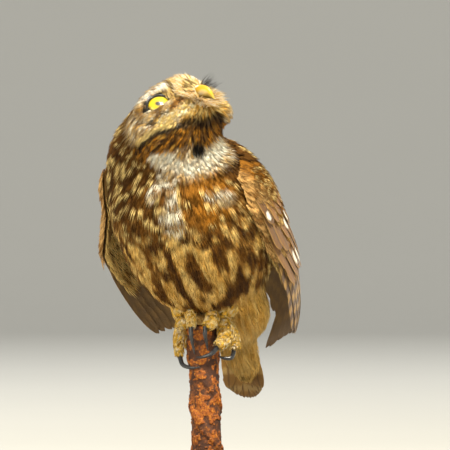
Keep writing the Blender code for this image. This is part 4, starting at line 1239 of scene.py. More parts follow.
def build_eye(name, side, node, finish, around=96):
    """Eyeball turned about the gaze: an arc of the ball, then the cornea's lower dome.

    The radius of each point from the pupil goes into iris_radius, which the finish paints by."""
    frame, centre = eye_frame(side), EYES[side]
    back = np.linspace(0.15, 2.0, 22)
    front = np.linspace(1.45, 0.02, 34)
    x = np.concatenate([-EYEBALL_DEPTH - EYEBALL_RADIUS * np.cos(back), CORNEA_RISE * np.cos(front) - 0.1])
    r = np.concatenate([EYEBALL_RADIUS * np.sin(back), CORNEA_RADIUS * np.sin(front)])
    points, faces = tube_surface(ringed(centre + x[:, None] * frame[0], r, frame[1:2], frame[2:], around))
    local = (points - centre) @ frame.T
    swing = np.clip(1.0 - np.hypot(local[:, 1], local[:, 2]) / CORNEA_RADIUS, 0.0, 1.0)[:, None]
    flat = local[:, 1:] - swing * np.array(PUPIL_SHIFT)
    radius = np.where(local[:, 0] > -1.0, np.linalg.norm(flat, axis=1), 9.0)
    bearing = np.arctan2(flat[:, 1], flat[:, 0])
    made = add_mesh(name, points, faces, finish, values={"iris_radius": radius},
                    uv={"iris": np.stack([np.cos(bearing), np.sin(bearing)], -1)})
    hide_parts(node)


def lid_places(turn, share):
    """Place across the gaze at a share of the way round the opening and a share of the way out to the rim.

    Returns (outward, crown) and the distance from the opening's edge."""
    knots = np.array(LID_EDGE + LID_EDGE[:1])
    count = len(LID_EDGE)
    at = np.asarray(turn) * count
    span = np.minimum(at.astype(int), count - 1)
    edge = between(*(knots[(span + k) % count] for k in (-1, 0, 1, 2)), (at - span)[..., None])
    rim = LID_OUTER * unit(edge - np.array([0.6, -0.6]))
    place = edge + (rim - edge) * share[..., None]
    return place, np.linalg.norm(place - edge, axis=-1)


def lid_base(radius):
    """How far out along the gaze the lids lie: just over the cornea's dome, then a slope down to the face."""
    dome = 2.95 * np.sqrt(np.maximum(1.0 - np.square(radius / 6.6), 0.0))
    return np.where(radius < 6.0, dome, 1.23 - 1.3 * (radius - 6.0))


def bare_width(place):
    """Width of the lids' black bare edge: broad above the eye, narrow below."""
    return 0.5 + 1.9 * smoothstep(-1.5, 1.5, place[..., 1] - 0.1 * place[..., 0])


def build_lids(name, side, finish, around=168, across=18):
    """Lids as one closed ring over the eyeball: a black round edge at the opening, wrinkles and the face's
    colours behind it."""
    frame, centre = eye_frame(side), EYES[side]
    turn = np.linspace(0, 1, around, endpoint=False)[:, None]
    share = np.concatenate([np.linspace(0, 1, across) ** 1.6, np.linspace(1, 0, across // 2) ** 1.6])[None]
    above = np.arange(share.shape[1])[None] < across
    turn, share = np.broadcast_arrays(turn, share)
    place, behind = lid_places(turn, share)
    near = np.clip(behind / 0.5, 0.0, 1.0)
    fold = 0.16 * (cloud(np.stack([place[..., 0] * 0.9, place[..., 1] * 0.9, 1.7 * behind], -1), 7) - 0.5)
    thick = 0.5 * np.sqrt(near * (2.0 - near)) + 0.4 * np.exp(-np.square((behind - 0.75) / 0.6)) + fold
    out = lid_base(np.linalg.norm(place, axis=-1)) + np.where(above, np.maximum(thick * near, 0.02), 0.0)
    out = out - LID_SKIRT * smoothstep(0.8, 1.0, share)
    points = centre + np.concatenate([out[..., None], place], -1) @ frame
    faces = halved(grid_faces(around, share.shape[1], closed_rows=True, closed_columns=True))
    points = points.reshape(-1, 3)
    nowhere = np.full(len(points), 0.6)
    # Behind the bare edge: the face's colours darkened to 0.8 as painted shade among the lid feathers.
    colours = 0.8 * markings(points, nowhere, nowhere, np.full((len(points), 3), 0.5))
    wide = bare_width(place)
    colours = blended(colours, (0.10, 0.09, 0.06), smoothstep(wide + 0.7, wide, behind).ravel())
    add_mesh(name, points, facing_out(points, faces), finish, colours=colours)


def build_lid_coat(name, side, finish, rng, count=1500):
    """Tiny feathers that cover the lids from behind their bare edge, wide above and narrow below."""
    frame, centre = eye_frame(side), EYES[side]
    turn, share = rng.random(count), rng.random(count)
    place, behind = lid_places(turn, share)
    kept = (behind > bare_width(place)) & (np.linalg.norm(place, axis=-1) < 9.0)
    place = place[kept]
    out = lid_base(np.linalg.norm(place, axis=-1)) + 0.3
    roots = centre + np.concatenate([out[:, None], place], -1) @ frame

    def field(points):
        local = (points - centre) @ frame.T
        lids = local[..., 0] - lid_base(np.hypot(local[..., 1], local[..., 2]))
        return np.minimum(lids, whole_plumage(points) + FACE_COAT)

    unwrap = 0.5 + place / (2.2 * LID_OUTER)
    add_tufts(name, finish, roots, unwrap, brush_plan(6), 3.4, 0.55, 0.09, (0.2, 1.0), rng,
              field=field)


# Bill

BILL_STATIONS = (
    # ahead and crown of the mouth line, culmen and chin edge, then half width
    ((15.0, -5.5), (17.0, 2.5), (15.0, -11.0), 4.6),
    ((20.0, -6.3), (22.3, 0.2), (19.5, -10.8), 3.9),
    ((22.9, -8.0), (26.4, -2.6), (21.8, -11.2), 3.2),
    ((24.1, -10.2), (28.2, -6.5), (22.9, -12.0), 2.3),
    ((24.7, -12.3), (27.9, -10.4), (23.3, -12.9), 1.4),
    ((24.4, -14.5), (25.3, -13.8), (23.6, -13.3), 0.45),
)


def build_bill_half(name, edge, last, node, finish, rows=60, sides=40):
    """One half of the bill: an arch (cos, sin^0.8) from the mouth line to the culmen or chin.

    The upper half has a nostril as a smooth pit on each side."""
    table = np.array([[*s[0], *s[edge], s[3]] for s in BILL_STATIONS[:last]])
    path = smooth_path(table, rows)
    angle = np.linspace(0.0, np.pi, sides)
    mouth, top = path[:, :2], path[:, 2:4]
    away = unit(top - mouth)
    mouth = mouth + away * 0.15
    lifted = mouth[:, None] + (top - mouth)[:, None] * (np.sin(angle) ** 0.8)[None, :, None]
    wide = path[:, 4, None] * (1.0 if edge == 1 else 0.8) * np.cos(angle)[None]
    ring = HEAD_CENTRE + lifted[..., :1] * AHEAD + wide[..., None] * RIGHT + lifted[..., 1:] * CROWN
    floor = HEAD_CENTRE + mouth[:, None, :1] * AHEAD + mouth[:, None, 1:] * CROWN
    rings = np.concatenate([ring, floor], 1)
    if edge == 1:
        for s in (1, -1):
            pit = np.linalg.norm(rings - in_head(23.9, s * 3.7, -2.5), axis=-1)
            rings = rings - (0.9 * np.exp(-np.square(pit / 0.75)))[..., None] * s * RIGHT
    points, faces = tube_surface(rings)
    run = np.repeat(np.linspace(0.0, 1.0, rows), sides + 1)
    rise = np.tile(np.concatenate([np.sin(angle), [0.0]]), rows)
    made = add_mesh(name, points, faces, finish, values={
        "bill_run": np.concatenate([run, [0.0, 1.0]]), "bill_rise": np.concatenate([rise, [0.0, 0.0]])})
    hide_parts(node)


def free_strands(starts, ways, bend, length, thick, steps=7, sides=3):
    """Bristles: points start + way t + bend t^2 for t from 0 to their length, with a tapered section."""
    t = np.linspace(0.0, 1.0, steps)[None, :, None]
    path = starts[:, None] + (ways[:, None] * t + bend[:, None] * t * t) * length[:, None, None]
    heading = unit(np.gradient(path, axis=1))
    side = unit(np.cross(heading, unit(bend)[:, None] + 0.01 * UP))
    up = np.cross(heading, side)
    points = ringed(path, thick * (1.0 - t[..., 0]) ** 0.7 + 0.02, side, up, sides).reshape(-1, 3)
    caps = np.array([[2, 1, 0], [0, 1, 2]]) + np.array([[0], [(steps - 1) * sides]])
    one = np.concatenate([halved(grid_faces(steps, sides, closed_columns=True)), caps])
    faces = (one[None] + steps * sides * np.arange(len(starts))[:, None, None]).reshape(-1, 3)
    return points, facing_out(points, faces), steps * sides


def add_strands(name, finish, skin, starts, ways, bend, length, thick, colour):
    """One coat piece of bristles, coloured by strand, with its baking map from the skin nearest each root."""
    points, faces, per = free_strands(starts, unit(ways), bend, length, thick)
    places, unwrap, _ = skin
    near = np.concatenate([np.linalg.norm(places[None] - part[:, None], axis=-1).argmin(1)
                           for part in np.array_split(starts, 12)])
    rise = np.tile(np.repeat(np.linspace(-0.5, 0.5, per // 3), 3), len(starts))
    patch = np.repeat(unwrap[near], per, axis=0) + BAKE_PATCH * np.stack([0.0 * rise, rise], -1)
    add_mesh(name, points, faces, finish, uv={"OFBake": patch},
             colours=np.repeat(colour, per, axis=0))


def build_bristles(skin, finish, rng, count=75):
    """Stiff black bristles that fan out of the lores, most on the bird's left of the bill."""
    side = np.where(rng.random(count) < 0.86, -1.0, 1.0)
    places = [19.5 + 2.0 * rng.random(count), side * (3.0 + 3.0 * rng.random(count)),
              -6.0 + 6.5 * rng.random(count)]
    starts = HEAD_CENTRE + np.stack(places, -1) @ HEAD
    fan = 0.2 + 1.6 * rng.random(count)
    rise = rng.normal(0.05, 0.2, count)
    ways = np.stack([np.ones(count), side * fan, rise], -1) @ HEAD
    bend = 0.25 * np.stack([-0.3 + 0.0 * fan, side * fan, rise], -1) @ HEAD
    length = np.where(side < 0, 7.5 + 4.0 * rng.random(count), 3.0 + 2.0 * rng.random(count))
    colour = paint((0.10, 0.08, 0.07)) + np.zeros((count, 1))
    add_strands("bristles", finish, skin, starts, ways, bend, length, 0.10, colour)


def build_whiskers(skin, finish, rng, count=1500):
    """Soft pale whiskers round the bill's root: they reach forward over its sides and its lower half."""
    turn = rng.random(count) * 2 * np.pi
    radial = np.stack([0.0 * turn, np.cos(turn), np.sin(turn)], -1)
    below, above = smoothstep(0.1, -0.7, radial[:, 2]), smoothstep(0.0, 0.6, radial[:, 2])
    far = 3.4 + 2.4 * above + 1.2 * below + 3.6 * rng.random(count)
    roots = HEAD_CENTRE + (np.array([20.0, 0.0, -5.5]) + far[:, None] * radial) @ HEAD
    starts = settle(roots, -0.9, turns=3)
    forward = (0.75 + 0.35 * below - 0.35 * above + rng.normal(0, 0.12, count))[:, None]
    outward = (0.15 + 0.15 * below + 0.75 * above + rng.normal(0, 0.2, count))[:, None]
    sideways = np.stack([0.0 * turn, -np.sin(turn), np.cos(turn)], -1) * rng.normal(0, 0.25, (count, 1))
    ways = (np.array([1.0, 0.0, 0.0]) * forward + radial * outward + sideways) @ HEAD
    bend = 0.6 * (radial - np.array([0.4, 0.0, 0.0])) @ HEAD
    length = (2.9 + 2.2 * rng.random(count)) * (1.0 + 0.55 * below - 0.2 * above)
    luck = rng.random(count)
    colour = layered(paint(CREAM) + np.zeros((count, 1)), (WHITE, 0.8 * (luck > 0.5)), (TAN, 0.8 * (luck < 0.2)),
                     (BROWN, 0.9 * ((luck > 0.2) & (luck < 0.34))))
    add_strands("whiskers", finish, skin, starts, ways, bend, length, 0.13, colour)


# Legs: toes and claws laid round the bar by angle (0 is the front, 90 the image right), clearance and height

TOES = {
    "right": {
        "1": (((-70, -2.5, 84, 3.2), (-42, 0.5, 83.5, 3.0), (-28, 3.2, 80, 2.7), (-27, 4.2, 77.5, 2.3)),
              ((-27, 4.4, 77.8, 1.5), (-27, 4.6, 73.5, 1.25), (-29, 2.4, 68.0, 0.8), (-30, 0.9, 64.0, 0.25))),
        "2": (((-82, 1.0, 82, 3.4), (-84, 3.6, 76, 3.2), (-88, 4.4, 69, 2.9), (-84, 4.4, 63, 2.4)),
              ((-84, 4.2, 62.5, 1.5), (-70, 3.4, 58.6, 1.3), (-40, 1.7, 57.2, 0.9), (-12, 0.9, 57.6, 0.25))),
        "3": (((-130, 0.0, 83, 3.2), (-140, 3.4, 79, 3.0), (-142, 4.0, 72, 2.7), (-142, 3.8, 67, 2.3)),
              ((-142, 3.9, 67.2, 1.4), (-142, 4.0, 63.0, 1.2), (-141, 2.2, 58.0, 0.8), (-140, 0.9, 54.5, 0.25))),
    },
    "left": {
        "1": (((60, -2.5, 84, 3.2), (42, 1.0, 82.5, 3.6), (24, 3.8, 79.8, 3.7), (10, 4.2, 77.8, 2.8)),
              ((9, 4.2, 78.0, 1.5), (7, 4.6, 74.0, 1.3), (12, 2.6, 69.5, 0.8), (17, 0.9, 65.8, 0.25))),
        "2": (((86, 1.0, 82, 4.2), (78, 4.6, 77, 4.4), (60, 5.0, 71, 3.9), (38, 4.4, 67.5, 2.9)),
              ((40, 4.0, 67.6, 1.5), (24, 3.6, 64.5, 1.3), (0, 1.9, 62.7, 0.9), (-24, 0.9, 62.6, 0.25))),
        "3": (((104, 2.0, 81, 4.0), (94, 6.0, 76, 4.2), (86, 8.0, 70, 3.8), (82, 8.6, 66, 3.2)),
              ((82, 8.2, 65.6, 1.5), (76, 7.0, 62.3, 1.3), (66, 3.8, 62.0, 0.9), (56, 1.4, 63.2, 0.25))),
        "4": (((140, 0.0, 83, 3.2), (146, 3.4, 79, 3.0), (148, 4.0, 72, 2.7), (148, 3.8, 67, 2.3)),
              ((148, 3.9, 67.2, 1.4), (148, 4.0, 63.0, 1.2), (148, 2.2, 58.0, 0.8), (148, 0.9, 54.5, 0.25))),
    },
}
SHANKS = {
    "right": ((-11.5, 8.0, 92.0, 8.0), (-12.0, 4.0, 85.5, 6.2), (-11.0, 1.0, 81.5, 4.6)),
    "left": ((10.0, 6.0, 92.0, 8.5), (7.5, 3.0, 86.0, 7.0), (5.8, 1.0, 82.0, 5.2)),
}


def round_bar(angle, clear, height):
    """Place at an angle round the leaning bar, a clearance off it, at a height."""
    t = np.radians(np.asarray(angle, float))
    axis = np.stack([BAR_LEAN * (height - BAR_FOOT), 0.0 * t, height + 0.0 * t], -1)
    return axis + np.asarray(BAR_RADIUS + clear)[..., None] * np.stack([np.sin(t), -np.cos(t), 0.0 * t], -1)


def wrapped(knots):
    k = np.array(knots, float)
    return np.concatenate([round_bar(k[:, 0], k[:, 1], k[:, 2]), k[:, 3:]], 1)


def round_tube(knots, rows=30, sides=24, sink=0.0, knobs=0.0):
    """Tube along a smooth path with a round end: radius times sqrt(1 - (1 - distance to it / radius)^2)."""
    path = smooth_path(knots, rows)
    centre, radius = path[:, :3], path[:, 3] - sink
    heading, side, up = path_frames(centre)
    travelled = np.concatenate([[0.0], np.cumsum(np.linalg.norm(np.diff(centre, axis=0), axis=1))])
    left = travelled[-1] - travelled
    cap = np.sqrt(np.clip(1.0 - np.square(np.clip(1.0 - left / radius, 0.0, 0.98)), 0.0, 1.0))
    knob = 1.0 + knobs * np.sin(travelled * 2.4)
    return tube_surface(ringed(centre, radius * cap * knob, side, up, sides))


def toe_tufts(knots, count, length, low, high, rng):
    """Middle lines of tufts on a toe, along its path from chance places round it."""
    fine = smooth_path(knots, 60)
    centre, radius = fine[:, :3], fine[:, 3]
    heading, side, up = path_frames(centre)
    total = np.linalg.norm(np.diff(centre, axis=0), axis=1).sum()
    begin = rng.random(count) * (1.0 - 0.55 * length / total)
    bearing = rng.random(count) * 2 * np.pi
    step = np.linspace(0.0, 1.0, 4)[None]
    at = np.clip(begin[:, None] + step * length / total, 0.0, 0.999) * 59
    i = np.minimum(at.astype(int), 58)
    t = (at - i)[..., None]

    def along_path(values):
        values = values.reshape(60, -1)
        return values[i] * (1 - t) + values[i + 1] * t

    swing = bearing[:, None] + rng.normal(0, 0.25, (count, 1)) * step
    out = unit(np.cos(swing)[..., None] * along_path(side) + np.sin(swing)[..., None] * along_path(up))
    past = np.clip(begin[:, None] + step * length / total - 0.999, 0.0, 1.0)[..., None] * total
    size = along_path(radius) * (1.0 - 0.25 * np.clip(past, 0, 1))
    size = size + low + (high - low) * step[..., None] ** 0.8
    line = along_path(centre) + size * out + past * along_path(heading)
    ahead = unit(np.gradient(line, axis=1))
    out = unit(out - (out * ahead).sum(-1, keepdims=True) * ahead)
    where = np.stack([begin, bearing / (2 * np.pi)], -1)
    return (line, ahead, np.cross(out, ahead), out), where


def toe_markings(points, u, v, dice):
    """Toe bristles: cream, some straw yellow and a few brown, darker towards their roots as painted shade
    between them.
    """
    colour = layered(paint(CREAM) + 0.0 * points, (STRAW, 0.85 * (dice[:, 0] < 0.5)),
                     (BROWN, 0.75 * (dice[:, 1] < 0.1)), (WHITE, 0.6 * (dice[:, 1] > 0.85)))
    # Darker towards each bristle's root: painted shade between the bristles.
    return shaded(colour, (0.6 + 0.4 * smoothstep(0.0, 0.6, u)) * (0.85 + 0.25 * dice[:, 2]))


def build_foot(side, skin_finish, coat_finish, horn_finish, rng):
    toes = TOES[side]
    tubes = [round_tube(SHANKS[side], sink=1.0)]
    tubes += [round_tube(wrapped(toe), sink=0.5, knobs=0.03) for toe, _ in toes.values()]
    points, faces = joined_meshes(tubes)
    made = add_mesh("foot_skin_" + side, points, faces, skin_finish)
    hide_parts("leg_" + side)
    plan = brush_plan(5, 1.0)
    pieces, colours, maps = [], [], []
    jobs = [(wrapped(toe), 390, 2.6) for toe, _ in toes.values()]
    jobs.append((np.array(SHANKS[side], float), 300, 5.0))
    for index, (knots, count, length) in enumerate(jobs):
        lines, where = toe_tufts(knots, count, length, -0.6, 0.15, rng)
        dice = rng.random((count, 3))
        lengths = np.full(count, length) * (0.8 + 0.4 * rng.random(count))
        points, faces, u, v, chance, per = grown_tufts(
            lines, plan, lengths, np.full(count, 0.65), np.full(count, 0.17), dice, rng, 0.08, 0.1)
        pieces.append((points, faces))
        colours.append(toe_markings(points, u, v, chance))
        place = np.stack([0.02 + (index + 0.05 + 0.85 * where[:, 1]) * 0.19, 0.03 + 0.92 * where[:, 0]], -1)
        patch = np.stack([np.clip(v, -1, 1) * 0.5, np.clip(u, 0, 1)], -1)
        maps.append(np.repeat(place, per, axis=0) + BAKE_PATCH * patch)
    points, faces = joined_meshes(pieces)
    add_mesh("foot_coat_" + side, points, facing_out(points, faces), coat_finish,
             colours=np.concatenate(colours), uv={"OFBake": np.concatenate(maps)})
    for toe, (_, claw) in toes.items():
        build_claw(f"claw_horn_{side}_{toe}", wrapped(claw), f"claw_{side}_{toe}", horn_finish)


def build_claw(name, knots, node, finish, rows=36, sides=20):
    """Claw: tube along its hook that narrows evenly to a sharp point, a little flattened."""
    path = smooth_path(knots, rows)
    heading, side, up = path_frames(path[:, :3])
    size = 0.87 * np.maximum(path[:, 3], 0.1)
    points, faces = tube_surface(ringed(path[:, :3], size, side, up, sides, 0.88))
    made = add_mesh(name, points, faces, finish)
    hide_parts(node)


# Bar and stand


def build_bar(finish, rows=260, around=160):
    """Bar whose radius is its own, plus low ribs that wind round it, plus rust flakes and pits as noise."""
    heights = np.linspace(BAR_FOOT, BAR_TOP, rows)[:, None]
    turn = np.linspace(0, 360, around, endpoint=False)[None]
    phase = np.radians(turn + 360.0 * heights / (RIB_PITCH * RIB_STARTS)) * RIB_STARTS
    rib = 1.8 * RIB_HEIGHT * smoothstep(0.45, 0.9, np.cos(phase))
    flat = round_bar(turn + 0 * heights, 0 * turn + 0 * heights, heights + 0 * turn)
    flakes = cloud(flat / 2.5, 51, 3)
    flake = 0.42 * smoothstep(0.5, 0.58, flakes) * (0.6 + 0.8 * cloud(flat / 1.1, 52, 2))
    grit = 0.22 * (cloud(flat / 0.7, 53, 3) - 0.5)
    edge = np.clip(np.minimum(heights - BAR_FOOT, BAR_TOP - heights) / 0.8, 0, 1)
    clear = (rib + flake + grit - 0.25) * edge - 0.5 * (1 - edge) ** 2
    rings = round_bar(turn + 0 * heights, clear, heights + 0 * turn)
    points, faces = tube_surface(rings)
    flaky = np.concatenate([smoothstep(0.5, 0.58, flakes).ravel(), [0, 0]])
    made = add_mesh("rusty_bar", points, faces, finish, values={"flaking": flaky})
    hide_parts("perch_bar")


def spun(profile, around):
    """Rings of a profile of (radius, height) turned about the upright axis."""
    r, z = np.array(profile, float).T[..., None]
    turn = circle(around)
    return np.stack([r * np.cos(turn), r * np.sin(turn), z + 0 * turn], -1)


def turned_piece(name, profile, finish, node, around=144):
    """Solid of revolution about the upright axis: profile is (radius, height) from axis to axis."""
    points, faces = tube_surface(spun(profile, around))
    made = add_mesh(name, points, faces, finish)
    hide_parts(node)


def build_stand(wood, steel):
    round_over = np.linspace(0.0, np.pi / 2, 9)
    corner = BASE_RADIUS - BASE_BEVEL, BASE_THICK - BASE_BEVEL
    edge = [(corner[0] + BASE_BEVEL * math.cos(a), corner[1] + BASE_BEVEL * math.sin(a)) for a in round_over]
    groove = [(49.5, BASE_THICK), (49.2, BASE_THICK - 0.4), (48.6, BASE_THICK - 0.4), (48.3, BASE_THICK)]
    foot = [(BASE_RADIUS - 1.0, 0.0), (BASE_RADIUS - 0.3, 0.25), (BASE_RADIUS, 0.8)]
    turned_piece("stand_plinth", foot + edge + groove + [(6.0, BASE_THICK)], wood, "stand_base")
    pin = [(PIN_RADIUS - 0.4, BASE_THICK + 0.3), (PIN_RADIUS, BASE_THICK + 0.7), (PIN_RADIUS, BAR_FOOT - 0.7),
           (PIN_RADIUS - 0.4, BAR_FOOT - 0.3)]
    turned_piece("stand_pin", pin, steel, "stand_rod", 48)


# Finishes


class Tree:
    """A tree of shader nodes, with short ways to make and join them."""

    def __init__(self, tree):
        self.nodes, self.link = tree.nodes, tree.links.new

    def node(self, kind, sockets=None, **settings):
        """A node with settings of its own and, by title or number, values or links for its sockets."""
        made = self.nodes.new(kind if kind.startswith("Node") else "ShaderNode" + kind)
        for title, value in settings.items():
            setattr(made, title, value)
        for title, value in (sockets or {}).items():
            if isinstance(value, bpy.types.NodeSocket):
                self.link(value, made.inputs[title])
            else:
                made.inputs[title].default_value = value
        return made

    def math(self, operation, *operands):
        return self.node("Math", dict(enumerate(operands)), operation=operation).outputs[0]

    def times(self, colour, share):
        return self.node("VectorMath", {0: colour, "Scale": share}, operation="SCALE").outputs[0]

    def read(self, attribute, output="Fac"):
        return self.node("Attribute", attribute_name=attribute).outputs[output]

    def place(self):
        return self.node("TexCoord").outputs["Object"]

    def stretched(self, scale):
        return self.node("Mapping", {"Vector": self.place(), "Scale": scale}).outputs[0]

    def split(self, uv_map):
        """The two coordinates of a UV map of the piece."""
        parts = self.node("SeparateXYZ", {0: self.node("UVMap", uv_map=uv_map).outputs["UV"]})
        return parts.outputs["X"], parts.outputs["Y"]

    def joined(self, *coordinates):
        return self.node("CombineXYZ", dict(zip("XYZ", coordinates))).outputs[0]

    def noise(self, place, scale, detail=4.0, roughness=0.55):
        return self.node("TexNoise", {"Vector": place, "Scale": scale, "Detail": detail,
                                      "Roughness": roughness}).outputs["Fac"]

    def share(self, value, low, high):
        """0 where a value is low, 1 where it is high, in a straight line between."""
        return self.node("MapRange", {"Value": value, "From Min": low, "From Max": high}).outputs[0]

    def ramp(self, factor, *stops):
        """Colours along a factor through stops of (place, colour as it looks)."""
        made = self.node("ValToRGB", {0: factor})
        points = made.color_ramp.elements
        while len(points) < len(stops):
            points.new(0.5)
        for point, (place, colour) in zip(points, stops):
            point.position = place
            point.color = (*paint(colour), 1.0)
        return made.outputs[0]

    def mixed(self, factor, first, second):
        """Colour between two by a factor."""
        made = self.node("Mix", data_type="RGBA")
        for title, source in (("Factor", factor), ("A", first), ("B", second)):
            self.link(source, made.inputs[title])
        return made.outputs["Result"]


class Finish(Tree):
    """A material with its Principled shader."""

    def __init__(self, name, roughness, metallic=0.0, coat=0.0):
        self.material = bpy.data.materials.new(name)
        self.material.use_nodes = True
        super().__init__(self.material.node_tree)
        self.shader = self.nodes["Principled BSDF"]
        self.fix("Roughness", roughness)
        self.fix("Metallic", metallic)
        self.fix("Coat Weight", coat)

    def fix(self, title, value):
        self.shader.inputs[title].default_value = value

    def feed(self, title, source):
        self.link(source, self.shader.inputs[title])

    def bump(self, height, strength, distance):
        made = self.node("Bump", {"Strength": strength, "Distance": distance, "Height": height})
        self.feed("Normal", made.outputs["Normal"])


def mottling():
    """Group that varies a colour by noise: colour times 1 + amount (noise - 0.5); the noise is its height."""
    group = bpy.data.node_groups.new("mottling", "ShaderNodeTree")
    tree = Tree(group)
    for title, kind, value in (("Colour", "NodeSocketColor", (0.5, 0.5, 0.5, 1)),
                               ("Scale", "NodeSocketFloat", 400.0), ("Amount", "NodeSocketFloat", 0.3)):
        group.interface.new_socket(name=title, in_out="INPUT", socket_type=kind).default_value = value
    for title, kind in (("Colour", "NodeSocketColor"), ("Height", "NodeSocketFloat")):
        group.interface.new_socket(name=title, in_out="OUTPUT", socket_type=kind)
    start = tree.node("NodeGroupInput").outputs
    noise = tree.noise(tree.place(), start["Scale"], roughness=0.5)
    gain = tree.math("MULTIPLY_ADD", tree.math("SUBTRACT", noise, 0.5), start["Amount"], 1.0)
    tree.node("NodeGroupOutput", {"Colour": tree.times(start["Colour"], gain), "Height": noise})
    return group


def mottled_material(name, group, roughness, scale, amount, bump, colour=None, attribute=None, coat=0.0):
    """A finish whose colour is one colour or an attribute, varied by the mottling group, with a fine bump."""
    made = Finish(name, roughness, coat=coat)
    base = made.read(attribute, "Color") if attribute else (*paint(colour), 1.0)
    vary = made.node("Group", {"Scale": scale, "Amount": amount, "Colour": base}, node_tree=group)
    made.feed("Base Color", vary.outputs["Colour"])
    made.bump(vary.outputs["Height"], bump, MM)
    made.fix("Specular IOR Level", 0.5 if coat else 0.2)
    return made.material


def vane_material(name):
    """Flight feathers: their painted colour, with barbs as fine slanting ridges off the shaft."""
    made = Finish(name, 0.62)
    run, across = made.split("vane")
    phase = made.math("MULTIPLY_ADD", made.math("ABSOLUTE", across), -0.9, run)
    ridges = made.math("SINE", made.math("MULTIPLY", phase, 13.0))
    strand = made.noise(made.joined(phase, made.math("MULTIPLY", across, 0.12)), 3.2, 3.0)
    shade = made.math("MULTIPLY_ADD", strand, 0.55, 0.72)
    made.feed("Base Color", made.times(made.read("coat_colour", "Color"), shade))
    made.bump(made.math("MULTIPLY_ADD", ridges, 0.3, strand), 0.5, 0.0002)
    made.fix("Sheen Weight", 0.15)
    return made.material


def eye_material(name):
    """Eye by distance from the gaze: blue-black pupil, lemon iris with radial fibres, dark rim, dark ball."""
    made = Finish(name, 0.45, coat=1.0)
    radius = made.read("iris_radius")
    spokes = [made.math("MULTIPLY", value, 9.0) for value in made.split("iris")]
    fibres = made.noise(made.joined(*spokes, made.math("MULTIPLY", radius, 0.35)), 1.6, 4.0, 0.65)
    wavy = made.math("MULTIPLY_ADD", fibres, 0.5, made.math("SUBTRACT", radius, 0.25))
    base = made.ramp(made.math("DIVIDE", wavy, 9.0), (0.0, (0.05, 0.06, 0.09)), (0.128, (0.05, 0.06, 0.09)),
                     (0.152, (0.42, 0.35, 0.02)), (0.23, (0.80, 0.71, 0.03)), (0.50, (0.84, 0.75, 0.05)),
                     (0.585, (0.66, 0.55, 0.03)), (0.64, (0.16, 0.12, 0.05)), (1.0, (0.06, 0.05, 0.04)))
    made.feed("Base Color", made.times(base, made.math("MULTIPLY_ADD", fibres, 0.5, 0.75)))
    made.fix("Coat Roughness", 0.015)
    made.fix("Coat IOR", 1.38)
    return made.material


def bill_material(name):
    """Horn of the bill: olive at the root and along the mouth, yellow on the ridge, paler at the tip."""
    made = Finish(name, 0.3, coat=0.35)
    cloudy = made.noise(made.place(), 500.0)
    run = made.math("MULTIPLY_ADD", cloudy, 0.16, made.math("SUBTRACT", made.read("bill_run"), 0.08))
    length = made.ramp(run, (0.0, (0.38, 0.32, 0.08)), (0.3, (0.58, 0.46, 0.08)), (0.5, (0.80, 0.62, 0.08)),
                       (0.85, (0.88, 0.73, 0.22)), (1.0, (0.80, 0.70, 0.34)))
    rise = made.math("MULTIPLY_ADD", cloudy, 0.25, made.math("SUBTRACT", made.read("bill_rise"), 0.12))
    rim = made.node("RGB")
    rim.outputs[0].default_value = (*paint((0.40, 0.33, 0.10)), 1.0)
    made.feed("Base Color", made.mixed(made.share(rise, 0.05, 0.6), rim.outputs[0], length))
    made.bump(made.noise(made.place(), 1800.0, 3.0), 0.12, 0.0002)
    return made.material


def horn_material(name):
    """Dark horn of the claws: slate to black, a little streaked, glossy."""
    made = Finish(name, 0.28, coat=0.25)
    streak = made.noise(made.place(), 700.0, 5.0, 0.6)
    made.feed("Base Color", made.ramp(streak, (0.3, (0.10, 0.10, 0.11)), (0.55, (0.22, 0.22, 0.23)),
                                      (0.75, (0.36, 0.35, 0.34))))
    made.bump(streak, 0.2, 0.0002)
    return made.material


def rust_material(name):
    """Old steel: purple-brown scale, orange and ochre rust on the flakes and in clouds, rough and pitted."""
    made = Finish(name, 0.85)
    broad, fine = made.noise(made.place(), 140.0, 6.0, 0.65), made.noise(made.place(), 900.0, 6.0, 0.7)
    scale = made.ramp(broad, (0.30, (0.19, 0.12, 0.08)), (0.5, (0.33, 0.19, 0.11)),
                      (0.68, (0.48, 0.28, 0.12)))
    rust = made.ramp(fine, (0.32, (0.42, 0.20, 0.04)), (0.52, (0.78, 0.42, 0.07)), (0.72, (0.96, 0.68, 0.24)))
    flaky = made.math("MULTIPLY", made.read("flaking"), 0.75)
    amount = made.math("MAXIMUM", flaky, made.share(broad, 0.52, 0.66))
    mottled = made.math("MULTIPLY", amount, made.math("MULTIPLY_ADD", fine, 0.8, 0.45))
    made.feed("Base Color", made.mixed(made.math("MINIMUM", mottled, 1.0), scale, rust))
    made.feed("Roughness", made.math("MULTIPLY_ADD", fine, 0.3, 0.62))
    made.bump(fine, 0.7, 0.0004)
    return made.material


def wood_material(name):
    """Dark stained wood: grain as noise stretched along X, with pores."""
    made = Finish(name, 0.42, coat=0.15)
    place = made.stretched((0.09, 1.0, 1.0))
    grain, pores = made.noise(place, 260.0, 6.0, 0.6), made.noise(place, 1500.0, 2.0)
    made.feed("Base Color", made.ramp(grain, (0.3, (0.13, 0.09, 0.07)), (0.5, (0.25, 0.16, 0.11)),
                                      (0.7, (0.34, 0.22, 0.14))))
    made.feed("Roughness", made.math("MULTIPLY_ADD", pores, 0.25, 0.3))
    made.bump(pores, 0.25, 0.0003)
    return made.material


